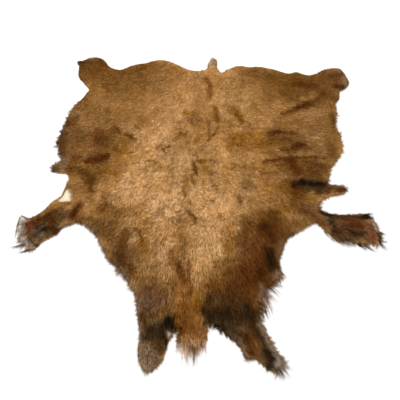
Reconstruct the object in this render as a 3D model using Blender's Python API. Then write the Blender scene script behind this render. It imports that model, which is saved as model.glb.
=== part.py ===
"""A tanned bison hide laid flat with its fur side up.

One lumpy slab of skin and fur has the hide's uneven outline, and locks of hair lie round its rim.
Metres, +Z up. Seen from above, +Y is the tail end, -Y the neck end, and +X the right.
"""

import math
import random
from collections import namedtuple

import bmesh
import bpy
import numpy as np
from mathutils import Vector, geometry, noise

CM = 0.01
MM = 0.001

GRID_PITCH = 0.044  # between two points of the fur's surface
RIM_PITCH = 0.015  # between two points of the outline, so also the width of a lock's root
RIM_HEIGHT = 0.010  # fur lying over the very edge of the skin
ROLL_IN = 0.085  # how far in from the edge the fur reaches its full height
EDGE_CLEARANCE = 0.024  # between the outline and the nearest points of the surface within it
MERGE = 1e-6
TRIANGLES_INSIDE = 1  # what the triangulation gives back: triangles within the outline alone

FRAY = 0.0045  # how far the trimmed edge wanders in and out
FRAY_LENGTH = 0.055
BIG_LUMP_LENGTH = 0.150
BIG_LUMP = 0.20  # of the fur's height
SMALL_LUMP_LENGTH = 0.075
SMALL_LUMP = 0.12
PILE_FALL_OFF = 3  # how sharply one place's fur height gives way to the next one's

LOCK_TIP_LIFT = 0.001
LOCK_GAP = 0.003  # at least this much room between two locks
EDGE_ROOM = 0.7  # of half its width, between a lock past its root and the edge
LOCK_SPREAD = 0.45  # how much of the way straight out of the edge is mixed into a lock's heading
LEAST_SLANT = 0.35  # a lock that would lie nearly along the edge is left out
LOCK_STRAY = 9  # degrees to either side of the stretch's heading
LOCK_BEND = 0.14  # of its length, to either side
SHORTEST_LOCK, LONGEST_LOCK = 0.72, 1.18  # of the stretch's hair length
PROBE_STEPS = 6
MOST_LOCKS = 260

# Along a lock, as shares of its length, of its root's width and of the edge's height.
LockStation = namedtuple("LockStation", "along width height")
LOCK_STATIONS = (LockStation(0.30, 0.86, 0.72), LockStation(0.68, 0.55, 0.42))

FUR_COLOUR = (0.20, 0.10, 0.04, 1.0)
FUR_ROUGHNESS = 0.85

# The outline in stretches, clockwise from the left hind leg. Columns: x, y in centimetres.
OUTLINE = {
    "left hind leg": (
        (-85.0, 99.5), (-84.6, 104.5), (-86.6, 107.4), (-82.3, 108.4), (-77.5, 110.9),
        (-71.3, 110.9), (-67.0, 108.3), (-64.0, 104.6),
    ),
    "left rump": (
        (-60.0, 102.0), (-54.3, 101.8), (-47.5, 105.0), (-39.7, 106.5), (-31.0, 109.0),
        (-24.0, 108.7), (-15.5, 105.3), (-8.3, 101.3), (-1.5, 100.6), (4.6, 101.2),
    ),
    "tail stub": ((5.6, 105.2), (9.2, 110.6), (11.6, 108.6), (11.8, 103.5), (14.6, 98.4)),
    "right rump": (
        (19.0, 101.3), (26.3, 104.4), (33.7, 103.5), (42.0, 103.7), (54.3, 100.7),
        (61.5, 98.4), (67.3, 99.4), (75.0, 97.1), (81.5, 98.2),
    ),
    "right hind leg": (
        (86.3, 100.8), (92.5, 102.4), (98.6, 101.2), (102.2, 94.5), (103.3, 90.6),
        (101.0, 86.4), (96.7, 83.5),
    ),
    "right flank": (
        (95.8, 78.0), (93.2, 73.6), (93.6, 66.5), (92.2, 58.5), (94.9, 50.3), (95.8, 41.5),
        (93.6, 35.0), (88.8, 29.0), (86.0, 22.5),
    ),
    "right elbow tab": (
        (85.4, 15.6), (90.0, 14.6), (95.4, 14.7), (97.1, 12.0), (94.6, 8.7), (87.0, 6.6),
    ),
    "right armpit": ((80.6, 4.0), (78.2, 0.6), (80.8, -4.0)),
    "right foreleg": (
        (87.5, -5.9), (98.0, -6.1), (107.5, -5.8), (112.0, -10.0), (114.6, -16.0), (116.2, -22.0),
        (114.2, -26.3), (107.0, -27.2), (97.0, -25.8), (88.5, -24.2), (82.7, -19.2), (78.0, -14.6),
    ),
    "right chest": (
        (74.4, -11.9), (68.4, -15.0), (61.4, -19.4), (55.6, -23.9), (52.6, -31.5), (50.5, -39.2),
    ),
    "right neck": (
        (52.0, -46.2), (49.6, -51.6), (44.3, -54.6), (41.0, -60.7), (38.8, -68.4), (37.9, -75.3),
    ),
    "right cheek": ((40.4, -81.0), (44.2, -88.8), (48.2, -96.0), (50.9, -102.6)),
    "right cheek end": ((48.2, -107.3), (42.0, -104.6), (36.6, -100.0)),
    "right cheek back": (
        (33.2, -97.7), (29.0, -98.6), (26.0, -94.8), (23.4, -89.3), (16.8, -84.7), (10.6, -80.1),
    ),
    "forelock": (
        (4.8, -78.6), (4.2, -84.5), (2.2, -91.0), (-1.2, -95.6), (-6.0, -97.2), (-10.8, -94.6),
        (-13.5, -88.5), (-15.0, -82.2),
    ),
    "left cheek back": ((-18.6, -88.0), (-20.8, -93.4), (-23.2, -99.4)),
    "left cheek end": ((-27.0, -104.0), (-31.2, -106.0), (-34.8, -103.8)),
    "left cheek": (
        (-37.0, -98.0), (-37.6, -92.0), (-36.9, -85.5), (-38.0, -77.5), (-39.2, -69.0), (-40.6, -61.0),
    ),
    "left neck": (
        (-44.0, -55.4), (-48.0, -49.4), (-53.0, -43.6), (-58.0, -37.6), (-62.3, -31.0), (-65.2, -25.2),
    ),
    "left chest": ((-68.0, -19.7), (-73.0, -15.9), (-78.6, -13.0), (-84.5, -14.0), (-88.9, -15.6)),
    "left foreleg": ((-91.8, -19.3), (-97.0, -21.8), (-101.0, -24.6), (-104.4, -28.2)),
    "left foreleg end": (
        (-109.4, -30.6), (-114.8, -27.6), (-117.2, -24.2), (-116.2, -18.0), (-117.9, -11.5),
        (-115.6, -6.6), (-110.8, -8.9),
    ),
    "left foreleg top": ((-105.6, -6.4), (-100.5, -1.9), (-96.0, 2.8), (-91.4, 6.5)),
    "left armpit": ((-89.1, 11.4), (-86.9, 16.6), (-87.4, 22.3)),
    "left elbow tab": ((-92.6, 22.9), (-97.8, 24.6), (-99.8, 28.0), (-96.9, 30.7)),
    "left flank": (
        (-93.6, 32.6), (-94.6, 38.5), (-96.2, 45.5), (-94.2, 52.5), (-91.8, 60.5), (-89.6, 66.5),
        (-86.2, 73.0), (-80.6, 79.2),
    ),
    "left thigh": ((-77.3, 85.0), (-80.2, 90.2), (-84.3, 94.6)),
}

# Hair that lies past the edge: length and spacing in centimetres, and the way the hair points at
# the stretch's start and at its end, in degrees anticlockwise from +X.
EdgeHair = namedtuple("EdgeHair", "stretch length spacing heading_start heading_end")
EDGE_HAIR = (
    ("tail stub", 2.2, 3.0, 110, 60),
    ("right flank", 1.9, 3.6, -5, -25),
    ("right elbow tab", 2.2, 3.2, 25, -15),
    ("right foreleg", 3.2, 2.8, 10, -70),
    ("right chest", 1.3, 4.2, -60, -20),
    ("right neck", 7.4, 2.4, -38, -52),
    ("right cheek", 5.6, 2.4, -55, -45),
    ("right cheek end", 4.8, 2.2, -42, -66),
    ("right cheek back", 2.4, 3.4, -80, -62),
    ("forelock", 4.2, 2.2, -68, -112),
    ("left cheek back", 1.8, 3.6, -35, -60),
    ("left cheek end", 2.2, 2.6, -80, -105),
    ("left cheek", 2.0, 3.6, -125, -160),
    ("left neck", 1.7, 3.8, -145, -130),
    ("left foreleg", 2.4, 2.8, -100, -120),
    ("left foreleg end", 2.6, 2.6, -140, 128),
    ("left foreleg top", 1.6, 4.2, 120, 130),
    ("left elbow tab", 2.2, 3.0, 190, 165),
    ("left flank", 1.9, 3.6, 195, 160),
    ("left thigh", 1.2, 4.2, 165, 150),
)

# Height of the fur in millimetres, about a place whose x, y and reach are in centimetres.
Pile = namedtuple("Pile", "place x y reach height")
PILE = (
    ("left hind leg", -76, 104, 12, 15),
    ("right hind leg", 94, 94, 12, 15),
    ("left rump", -45, 92, 26, 19),
    ("right rump", 48, 90, 26, 19),
    ("tail", 9, 104, 9, 15),
    ("back of the spine", 5, 80, 22, 24),
    ("left loin", -45, 60, 24, 25),
    ("right loin", 50, 58, 24, 25),
    ("left flank", -80, 50, 18, 24),
    ("right flank", 84, 50, 18, 24),
    ("middle of the back", 0, 45, 26, 31),
    ("left ribs", -50, 25, 24, 32),
    ("right ribs", 52, 25, 24, 31),
    ("hump", -2, 5, 28, 42),
    ("left shoulder", -45, -12, 22, 42),
    ("right shoulder", 42, -12, 22, 42),
    ("left elbow", -80, 12, 12, 26),
    ("right elbow", 80, 10, 12, 26),
    ("left foreleg", -103, -15, 16, 34),
    ("right foreleg", 98, -15, 18, 36),
    ("left side of the neck", -32, -45, 18, 44),
    ("right side of the neck", 32, -45, 18, 46),
    ("mane", -6, -55, 16, 52),
    ("left cheek", -29, -92, 14, 40),
    ("right cheek", 34, -88, 15, 42),
    ("forelock", -5, -86, 11, 50),
)

# Creases and swells: a line's two ends and its half width in centimetres, and how far it sinks in
# millimetres, less than nought for a swell.
Crease = namedtuple("Crease", "name x0 y0 x1 y1 half_width sink")
CREASES = (
    ("furrow above the tail", 6, 96, 6, 78, 3.4, 7),
    ("furrow of the loin", 6, 78, 12, 58, 3.2, 5),
    ("furrow of the back", 12, 58, -2, 30, 3.2, 5),
    ("parting of the hump", -2, 30, -9, -25, 3.2, 9),
    ("parting of the mane", -9, -25, -5, -66, 3.2, 10),
    ("left swell of the mane", -14, -35, -12, -82, 4.5, -7),
    ("right swell of the mane", 2, -30, 0, -80, 4.5, -6),
    ("left side fold", -92, 28, -58, 30, 3.4, 8),
    ("left side swell", -92, 36, -60, 38, 4.0, -6),
    ("right loin fold", 27, 53, 43, 52, 3.2, 5),
    ("right loin swell", 26, 58, 44, 57, 3.2, -5),
    ("right side swell", 45, 36, 92, 34, 4.0, -7),
    ("right side fold", 44, 30, 90, 28, 3.6, 8),
    ("right thigh swell", 86, 70, 74, 79, 3.4, -6),
    ("right rump swell", 27, 92, 28, 72, 3.4, -5),
    ("right rump fold", 22, 92, 22, 72, 3.2, 4),
    ("left elbow hollow", -79, -1, -82, -9, 5.5, 9),
    ("right elbow hollow", 62, 15, 85, 14, 5.0, 9),
    ("left neck hollow", -17, -73, -21, -84, 4.5, 12),
    ("right neck hollow", 5, -71, 30, -76, 5.0, 12),
    ("bare spot in the left armpit", -88, 8, -84, 6, 4.2, 10),
)


def smooth_loop(points, pitch):
    """A closed Catmull-Rom curve through the points, with a new point about every pitch."""
    loop = []
    count = len(points)
    for i in range(count):
        before, start, end, after = (Vector(points[(i + step) % count]) for step in (-1, 0, 1, 2))
        steps = max(1, round((end - start).length / pitch))
        for step in range(steps):
            t = step / steps
            loop.append(0.5 * (
                2 * start
                + (end - before) * t
                + (2 * before - 5 * start + 4 * end - after) * t**2
                + (3 * start - before - 3 * end + after) * t**3
            ))
    return loop


def outward(loop, i):
    """The way out of the hide at one point of its clockwise outline."""
    along = loop[(i + 1) % len(loop)] - loop[i - 1]
    return Vector((-along.y, along.x)).normalized()


def fray(loop):
    """The outline with the small unevenness of a trimmed and haired edge."""
    frayed = []
    for i, point in enumerate(loop):
        wander = noise.noise((point.x / FRAY_LENGTH, point.y / FRAY_LENGTH, 0.0))
        frayed.append(point + outward(loop, i) * (FRAY * wander))
    return frayed


def edge_distance(places, loop):
    """How far each place is from the outline, and whether it is inside."""
    start = np.array([tuple(point) for point in loop])
    end = np.roll(start, -1, axis=0)
    along = end - start
    inside = np.zeros(len(places), bool)
    nearest = np.full(len(places), np.inf)
    for a, b, ab in zip(start, end, along):
        t = np.clip((places - a) @ ab / (ab @ ab), 0.0, 1.0)
        nearest = np.minimum(nearest, np.linalg.norm(places - a - t[:, None] * ab, axis=1))
        crosses = (a[1] > places[:, 1]) != (b[1] > places[:, 1])
        level = np.where(crosses, places[:, 1] - a[1], 0.0) / (ab[1] if ab[1] else 1.0)
        inside ^= crosses & (places[:, 0] < a[0] + level * ab[0])
    return nearest, inside


def crease_depth(places):
    """How far the creases sink each place, in metres."""
    depth = np.zeros(len(places))
    for crease in map(Crease._make, CREASES):
        start = np.array((crease.x0, crease.y0)) * CM
        along = np.array((crease.x1, crease.y1)) * CM - start
        t = np.clip((places - start) @ along / (along @ along), 0.0, 1.0)
        away = np.linalg.norm(places - start - t[:, None] * along, axis=1)
        depth += crease.sink * MM * np.exp(-((away / (crease.half_width * CM)) ** 2))
    return depth


def fur_height(places, loop):
    """Height of the fur's surface over the floor at each place."""
    weight_sum = np.full(len(places), 1e-9)
    height = np.zeros(len(places))
    for pile in map(Pile._make, PILE):
        away = np.linalg.norm(places - np.array((pile.x, pile.y)) * CM, axis=1) / (pile.reach * CM)
        weight = (1.0 + away**2) ** -PILE_FALL_OFF
        weight_sum += weight
        height += weight * pile.height * MM
    height /= weight_sum
    lumps = [
        BIG_LUMP * noise.noise((x / BIG_LUMP_LENGTH, y / BIG_LUMP_LENGTH, 1.0))
        + SMALL_LUMP * noise.noise((x / SMALL_LUMP_LENGTH, y / SMALL_LUMP_LENGTH, 2.0))
        for x, y in places
    ]
    height *= 1.0 + np.array(lumps)
    height -= crease_depth(places)
    distance, inside = edge_distance(places, loop)
    rise = np.clip(np.where(inside, distance, 0.0) / ROLL_IN, 0.0, 1.0)
    rise = np.sin(rise * math.pi / 2)
    return RIM_HEIGHT + (np.maximum(height, RIM_HEIGHT) - RIM_HEIGHT) * rise


def edge_marks(loop):
    """Where each stretch of the outline starts, as an index into the loop of points."""
    starts = []
    for stretch in OUTLINE.values():
        first = Vector(stretch[0]) * CM
        starts.append(min(range(len(loop)), key=lambda i: (loop[i] - first).length))
    return dict(zip(OUTLINE, starts)), dict(zip(OUTLINE, starts[1:] + starts[:1]))


def plan_locks(loop):
    """The locks round the rim: for each, the outline point that it starts at and its centre line."""
    chance = random.Random(3)
    first_of, last_of = edge_marks(loop)
    locks = []
    taken = []
    for hair in map(EdgeHair._make, EDGE_HAIR):
        first = first_of[hair.stretch]
        count = (last_of[hair.stretch] - first) % len(loop)
        since_last = hair.spacing * CM
        for step in range(count):
            here = (first + step) % len(loop)
            start, end = loop[here], loop[(here + 1) % len(loop)]
            since_last += (end - start).length
            if since_last < hair.spacing * CM or len(locks) >= MOST_LOCKS:
                continue
            heading = hair.heading_start + (hair.heading_end - hair.heading_start) * step / count
            heading = math.radians(heading + chance.uniform(-LOCK_STRAY, LOCK_STRAY))
            length = hair.length * CM * chance.uniform(SHORTEST_LOCK, LONGEST_LOCK)
            out = Vector((start.y - end.y, end.x - start.x)).normalized()
            way = Vector((math.cos(heading), math.sin(heading)))
            way = (way + LOCK_SPREAD * out).normalized()
            bend = Vector((-way.y, way.x)) * length * chance.uniform(-LOCK_BEND, LOCK_BEND)
            width = (end - start).length * way.dot(out)
            line = lock_line((start + end) / 2, way * length, bend, width)
            if way.dot(out) > LEAST_SLANT and stands_clear(line, loop, taken):
                locks.append((here, line))
                taken.extend(probes(line))
                since_last = 0.0
    return locks


def lock_line(root, reach, bend, width):
    """A lock's centre line from root to tip: each point's place, width and share of the edge's height."""
    line = [(root, width, 1.0)]
    for station in LOCK_STATIONS:
        place = root + (reach + bend) * station.along
        line.append((place, width * station.width, station.height))
    line.append((root + reach + bend * 2, 0.0, 0.0))
    return line


def probes(line):
    """Points along a lock, each with the room that the lock takes to either side of it."""
    found = []
    for (start, start_width, _), (end, end_width, _) in zip(line, line[1:]):
        for t in np.linspace(0.0, 1.0, PROBE_STEPS):
            found.append((start.lerp(end, t), (start_width + (end_width - start_width) * t) / 2))
    return found


def stands_clear(line, loop, taken):
    """Whether a lock lies outside the edge past its root, and touches no other lock."""
    free = probes(line[1:])
    distance, inside = edge_distance(np.array([tuple(place) for place, _ in free]), loop)
    least = np.array([room for _, room in free]) * EDGE_ROOM
    if inside.any() or (distance < least).any():
        return False
    return all(
        (place - other).length > room + other_room + LOCK_GAP
        for place, room in probes(line)
        for other, other_room in taken
    )


def new_object(name, bm, material):
    """An object that holds the finished mesh, shaded smooth."""
    bmesh.ops.recalc_face_normals(bm, faces=bm.faces[:])
    mesh = bpy.data.meshes.new(name)
    bm.to_mesh(mesh)
    bm.free()
    mesh.materials.append(material)
    mesh.shade_smooth()
    obj = bpy.data.objects.new(name, mesh)
    bpy.context.scene.collection.objects.link(obj)
    return obj


def surface_places(loop):
    """The outline, and within it rows of places set like honeycomb, clear of the edge."""
    xs = np.arange(min(p.x for p in loop), max(p.x for p in loop), GRID_PITCH)
    ys = np.arange(min(p.y for p in loop), max(p.y for p in loop), GRID_PITCH * math.sqrt(3) / 2)
    rows = [(x + GRID_PITCH / 2 * (row % 2), y) for row, y in enumerate(ys) for x in xs]
    places = np.array(rows)
    distance, inside = edge_distance(places, loop)
    kept = places[inside & (distance > EDGE_CLEARANCE)]
    return [*loop, *(Vector(place) for place in kept)]


def fur_slab(bm, loop, middle):
    """The fur's surface, drawn down along its edge to a flat underside. Returns the walls of the edge."""
    places = surface_places(loop)
    rim = [list(range(len(loop)))]
    flat, _, faces, _, _, _ = geometry.delaunay_2d_cdt(places, [], rim, TRIANGLES_INSIDE, MERGE)
    heights = fur_height(np.array([tuple(place) for place in flat]), loop)
    verts = [bm.verts.new((*(place - middle), height)) for place, height in zip(flat, heights)]
    for face in faces:
        bm.faces.new([verts[i] for i in face])
    walls = []
    lowered = [bm.verts.new((*(place - middle), 0.0)) for place in loop]
    for i in range(len(loop)):
        j = (i + 1) % len(loop)
        walls.append(bm.faces.new((verts[i], verts[j], lowered[j], lowered[i])))
    bm.faces.new(lowered)
    return walls


def grow_lock(bm, wall, line, middle):
    """Draws one wall of the edge out into a lock of hair that lies on the floor and ends in a point."""
    rim_height = max(vert.co.z for vert in wall.verts)
    root = line[0][0] - middle
    for i, (place, width, height_share) in enumerate(line[1:], start=1):
        way = (line[min(i + 1, len(line) - 1)][0] - line[i - 1][0]).normalized()
        side = Vector((-way.y, way.x))
        grown = bmesh.ops.extrude_discrete_faces(bm, faces=[wall])
        wall = grown["faces"][0]
        centre = place - middle
        for vert in wall.verts:
            left = side.dot(vert.co.xy - root) > 0.0
            across = width / 2 if left else -width / 2
            raised = rim_height * height_share if vert.co.z > 0.0 else 0.0
            vert.co = (*(centre + side * across), raised)
        root = centre
    bmesh.ops.pointmerge(bm, verts=wall.verts[:], merge_co=(*root, LOCK_TIP_LIFT))


def fur_material():
    """Plain mid-brown fur."""
    material = bpy.data.materials.new("bison_fur")
    material.use_nodes = True
    shader = material.node_tree.nodes["Principled BSDF"]
    shader.inputs["Base Color"].default_value = FUR_COLOUR
    shader.inputs["Roughness"].default_value = FUR_ROUGHNESS
    shader.inputs["Metallic"].default_value = 0.0
    return material


def build_hide():
    """The whole hide, with its box's middle over the origin and its underside on the floor."""
    rim_points = [(x * CM, y * CM) for stretch in OUTLINE.values() for x, y in stretch]
    loop = fray(smooth_loop(rim_points, RIM_PITCH))
    locks = plan_locks(loop)
    reach = loop + [line[-1][0] for _, line in locks]
    middle = Vector((
        (min(p.x for p in reach) + max(p.x for p in reach)) / 2,
        (min(p.y for p in reach) + max(p.y for p in reach)) / 2,
    ))
    bm = bmesh.new()
    walls = fur_slab(bm, loop, middle)
    for here, line in locks:
        grow_lock(bm, walls[here], line, middle)
    new_object("hide", bm, fur_material())
    print(f"{len(loop)} outline points, {len(locks)} locks, middle at {middle.x:.4f}, {middle.y:.4f} m")


def main():
    for obj in list(bpy.data.objects):
        bpy.data.objects.remove(obj, do_unlink=True)
    build_hide()


main()
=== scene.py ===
# %% [markdown]
# # A bison hide, laid flat with its fur side up
# A tanned hide is one skin with its hair left on. Seen from a step away it is a wide, lumpy, woolly
# surface with a soft dark rim. Seen close up it is thousands of locks of hair, and each lock leans
# over the next.
#
# The frame holds the hide as a plain solid: its outline, and how high the fur stands at each place.
# This lesson dresses that solid. It reads the height of the fur from it, lays a thin skin on the
# floor, covers the skin with dense under-fur, and then plants the locks of hair in it.

# %% The frame and the tools
import math
from collections import namedtuple

import bmesh
import bpy
import numpy as np
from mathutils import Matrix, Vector, geometry, kdtree
from mathutils.bvhtree import BVHTree


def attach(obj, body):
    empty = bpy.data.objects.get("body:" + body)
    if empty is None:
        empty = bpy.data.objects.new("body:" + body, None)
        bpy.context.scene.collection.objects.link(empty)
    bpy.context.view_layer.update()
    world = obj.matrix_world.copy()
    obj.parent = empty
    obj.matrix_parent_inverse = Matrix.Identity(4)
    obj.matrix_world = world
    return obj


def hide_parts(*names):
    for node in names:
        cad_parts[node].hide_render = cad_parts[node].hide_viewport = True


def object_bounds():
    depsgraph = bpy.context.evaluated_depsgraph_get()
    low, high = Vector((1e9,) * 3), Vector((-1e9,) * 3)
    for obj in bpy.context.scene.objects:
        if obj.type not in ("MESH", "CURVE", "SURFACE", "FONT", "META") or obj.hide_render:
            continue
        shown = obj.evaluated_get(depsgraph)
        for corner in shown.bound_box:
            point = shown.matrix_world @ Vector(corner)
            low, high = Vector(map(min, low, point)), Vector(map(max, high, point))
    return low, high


CM = 0.01
MM = 0.001

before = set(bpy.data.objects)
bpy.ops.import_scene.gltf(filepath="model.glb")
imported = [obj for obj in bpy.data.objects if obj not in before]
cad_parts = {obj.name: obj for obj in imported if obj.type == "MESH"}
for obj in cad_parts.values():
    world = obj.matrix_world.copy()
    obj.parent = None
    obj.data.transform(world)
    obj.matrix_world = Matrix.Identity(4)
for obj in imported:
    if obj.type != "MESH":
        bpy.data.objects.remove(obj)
cad_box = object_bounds()
print("the solid's box:", [round(x, 4) for corner in cad_box for x in corner])

# %% [markdown]
# ## The camera
# The photograph was taken from the neck end, a little off the vertical. So the far end, with the
# tail, looks a little smaller than it is. A long lens keeps that effect weak.
#
# All tables below give places in centimetres as they are read off a plan of the hide: x to the
# right, y towards the tail. The solid stands with the middle of its box on the origin, so that
# middle is taken off each place.

# %% The camera
PLAN_MIDDLE = Vector((0.0069, 0.0059, 0.0))
CAMERA_TILT = math.radians(20)
CAMERA_DISTANCE = 4.5
CAMERA_AIM = Vector((0.0, 0.0425, 0.0)) - PLAN_MIDDLE
CAMERA_LENS = 62  # millimetres, like the sensor
CAMERA_SENSOR = 36

scene = bpy.context.scene


def placed(name, data):
    """A new object that shows this data, in the scene."""
    thing = bpy.data.objects.new(name, data)
    scene.collection.objects.link(thing)
    return thing


camera = placed("camera", bpy.data.cameras.new("camera"))
camera.data.lens = CAMERA_LENS
camera.data.sensor_width = CAMERA_SENSOR
camera.location = CAMERA_AIM + CAMERA_DISTANCE * Vector((0, -math.sin(CAMERA_TILT), math.cos(CAMERA_TILT)))
camera.rotation_euler = (CAMERA_TILT, 0, 0)
scene.camera = camera
print("the camera stands", round(camera.location.z, 2), "m over the floor")

# %% [markdown]
# ## The floor and the light
# Fur looks soft under large, even lights, because each hair then has only a faint shadow. One
# broad lamp from the tail end draws the lumps and partings, one opposite fills the shadows, and a
# pale world lights the rest. The floor is a white sheet of studio paper.

# %% The floor and the light
FLOOR_HALF = 9.0
FLOOR_DROP = 0.0004  # so that the floor and the skin's underside never lie in one plane
PAPER_WHITE = (0.93, 0.93, 0.92, 1.0)
PAPER_ROUGHNESS = 0.9
WORLD_WHITE = (1.0, 1.0, 1.0, 1.0)
WORLD_STRENGTH = 0.58

Lamp = namedtuple("Lamp", "name x y z size watts warmth")
LAMPS = (
    Lamp("lamp at the tail end", -1.4, 3.0, 3.6, 2.6, 190, (1.0, 0.98, 0.95)),
    Lamp("lamp at the neck end", 1.8, -2.6, 4.2, 3.0, 60, (0.97, 0.98, 1.0)),
)

scene.view_settings.view_transform = "Standard"

world = bpy.data.worlds.new("studio")
world.use_nodes = True
sky = world.node_tree.nodes["Background"]
sky.inputs["Color"].default_value = WORLD_WHITE
sky.inputs["Strength"].default_value = WORLD_STRENGTH
scene.world = world

for lamp in LAMPS:
    light = bpy.data.lights.new(lamp.name, "AREA")
    light.size = lamp.size
    light.energy = lamp.watts
    light.color = lamp.warmth
    holder = placed(lamp.name, light)
    holder.location = (lamp.x, lamp.y, lamp.z)
    holder.rotation_euler = (-holder.location).to_track_quat("-Z", "Y").to_euler()

paper = bmesh.new()
bmesh.ops.create_grid(paper, x_segments=1, y_segments=1, size=FLOOR_HALF)
bmesh.ops.translate(paper, verts=paper.verts[:], vec=(0, 0, -FLOOR_DROP))
floor = placed("floor", bpy.data.meshes.new("floor"))
paper.to_mesh(floor.data)
paper.free()


def material_named(name):
    """A new material and its shader."""
    material = bpy.data.materials.new(name)
    material.use_nodes = True
    return material, material.node_tree.nodes["Principled BSDF"]


white, shader = material_named("studio paper")
shader.inputs["Base Color"].default_value = PAPER_WHITE
shader.inputs["Roughness"].default_value = PAPER_ROUGHNESS
floor.data.materials.append(white)
print("lamps:", len(LAMPS))

# %% [markdown]
# ## Reading the solid
# The solid is a height map in disguise: over each place of the floor it has one height. Rays shot
# straight down on an even grid read that height, and after that any place is looked up by
# blending the four nearest readings. That is many times faster than a ray for each hair.

# %% Reading the fur's height
MAP_STEP = 5 * MM
MERGE = 0.01 * MM
ABOVE = 1.0  # metres over the floor, where the rays start
EDGE_CUT = 9.4 * MM  # the slab's edge stands 10 mm high, and the locks round it lie lower

solid = bmesh.new()
solid.from_mesh(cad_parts["hide"].data)
bmesh.ops.remove_doubles(solid, verts=solid.verts[:], dist=MERGE)
surface = BVHTree.FromBMesh(solid)

MAP_X = np.arange(cad_box[0].x - 2 * MAP_STEP, cad_box[1].x + 2 * MAP_STEP, MAP_STEP)
MAP_Y = np.arange(cad_box[0].y - 2 * MAP_STEP, cad_box[1].y + 2 * MAP_STEP, MAP_STEP)


def height_below(x, y):
    """The solid's height at one place, or nought beside it."""
    hit = surface.ray_cast((x, y, ABOVE), (0, 0, -1))[0]
    return hit.z if hit else 0.0


heights = np.array([[height_below(x, y) for x in MAP_X.tolist()] for y in MAP_Y.tolist()])
print("readings:", heights.size, " highest fur:", round(heights.max() / MM, 1), "mm")

# %% Looking a place up in a map
BEFORE_LAST = 1.001  # readings from the far edge at which a place still has a next reading


def blended(chart, row, column, fy, fx):
    """The chart's four values round each place, weighed by how far the place lies between them."""
    low = chart[row, column] * (1 - fx) + chart[row, column + 1] * fx
    high = chart[row + 1, column] * (1 - fx) + chart[row + 1, column + 1] * fx
    return low * (1 - fy) + high * fy


def look_up(chart, x, y):
    """The chart's values at places x, y in metres, blended from the four nearest readings."""
    across = np.clip((x - MAP_X[0]) / MAP_STEP, 0, len(MAP_X) - BEFORE_LAST)
    up = np.clip((y - MAP_Y[0]) / MAP_STEP, 0, len(MAP_Y) - BEFORE_LAST)
    column = across.astype(int)
    row = up.astype(int)
    fx = across - column
    fy = up - row
    if chart.ndim == 3:
        fx = fx[:, None]
        fy = fy[:, None]
    return blended(chart, row, column, fy, fx)


# %% [markdown]
# The hide's outline is where a level cut just under the slab's edge meets its wall. The distance
# of each place from that outline, and the way out of the hide there, are maps too: they tell which
# hair is short rim hair and where it points.

# %% The outline, and how far in each place lies
EDGE_PITCH = 3 * MM
LEAST_SLOPE = 0.2  # where the way out is unclear, it is made shorter than one


def level_line(shape, level):
    """The longest closed line that a level cut makes in a bmesh, which is used up by it.

    Its edges are taken by their numbers, so that each run starts the line at the same corner.
    """
    cut = bmesh.ops.bisect_plane(
        shape, geom=shape.verts[:] + shape.edges[:] + shape.faces[:], dist=MERGE / 10,
        plane_co=(0, 0, level), plane_no=(0, 0, 1), clear_outer=True, clear_inner=True,
    )
    shape.edges.index_update()
    left = {item.index: item for item in cut["geom_cut"] if isinstance(item, bmesh.types.BMEdge)}
    lines = []
    while left:
        edge = left[min(left)]
        corner = edge.verts[0]
        line = []
        while edge:
            line.append(tuple(corner.co.xy))
            left.pop(edge.index)
            corner = edge.other_vert(corner)
            edge = next((other for other in corner.link_edges if other.index in left), None)
        lines.append(line)
    shape.free()
    return max(lines, key=len)


def even_loop(loop, pitch):
    """The same closed loop with its points about a pitch apart."""
    at = np.array([*loop, loop[0]])
    run = np.concatenate([[0.0], np.cumsum(np.linalg.norm(np.diff(at, axis=0), axis=1))])
    count = int(run[-1] / pitch)
    places = np.arange(count) * run[-1] / count
    return np.stack([np.interp(places, run, at[:, 0]), np.interp(places, run, at[:, 1])], axis=1)


outline = level_line(solid, EDGE_CUT)
edge_points = even_loop(outline, EDGE_PITCH)
nearest = kdtree.KDTree(len(edge_points))
for number, point in enumerate(edge_points):
    nearest.insert((point[0], point[1], 0), number)
nearest.balance()

inside = heights > EDGE_CUT
depth = np.array([[nearest.find((x, y, 0))[2] for x in MAP_X.tolist()] for y in MAP_Y.tolist()])
depth = np.where(inside, depth, -depth)
out_y, out_x = np.gradient(-depth, MAP_STEP)
out_size = np.maximum(np.hypot(out_x, out_y), LEAST_SLOPE)
outward = np.stack([out_x / out_size, out_y / out_size], axis=2)
area = float(inside.sum()) * MAP_STEP**2
print("outline:", len(outline), "points, area", round(area, 3), "square metres")

# %% [markdown]
# ## How the hair lies
# Hair doesn't grow straight up. On the back it is woolly and turns every way. On the rump and
# flanks it is short and combed by the way the animal moved, and on the neck, forelegs and
# forelock it hangs long. The table has one row for each place, and between rows the values blend.
#
# Columns: x, y and reach in centimetres; heading in degrees anticlockwise from +X; length of the
# hair in millimetres; stray, how far the clumps turn away from the heading; curl, how far a lock
# bends along its length, both in degrees; rim, how far single hairs reach past the solid's outline,
# and fringe, how far within it the skin ends and the hair alone goes on, both in millimetres.

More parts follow.
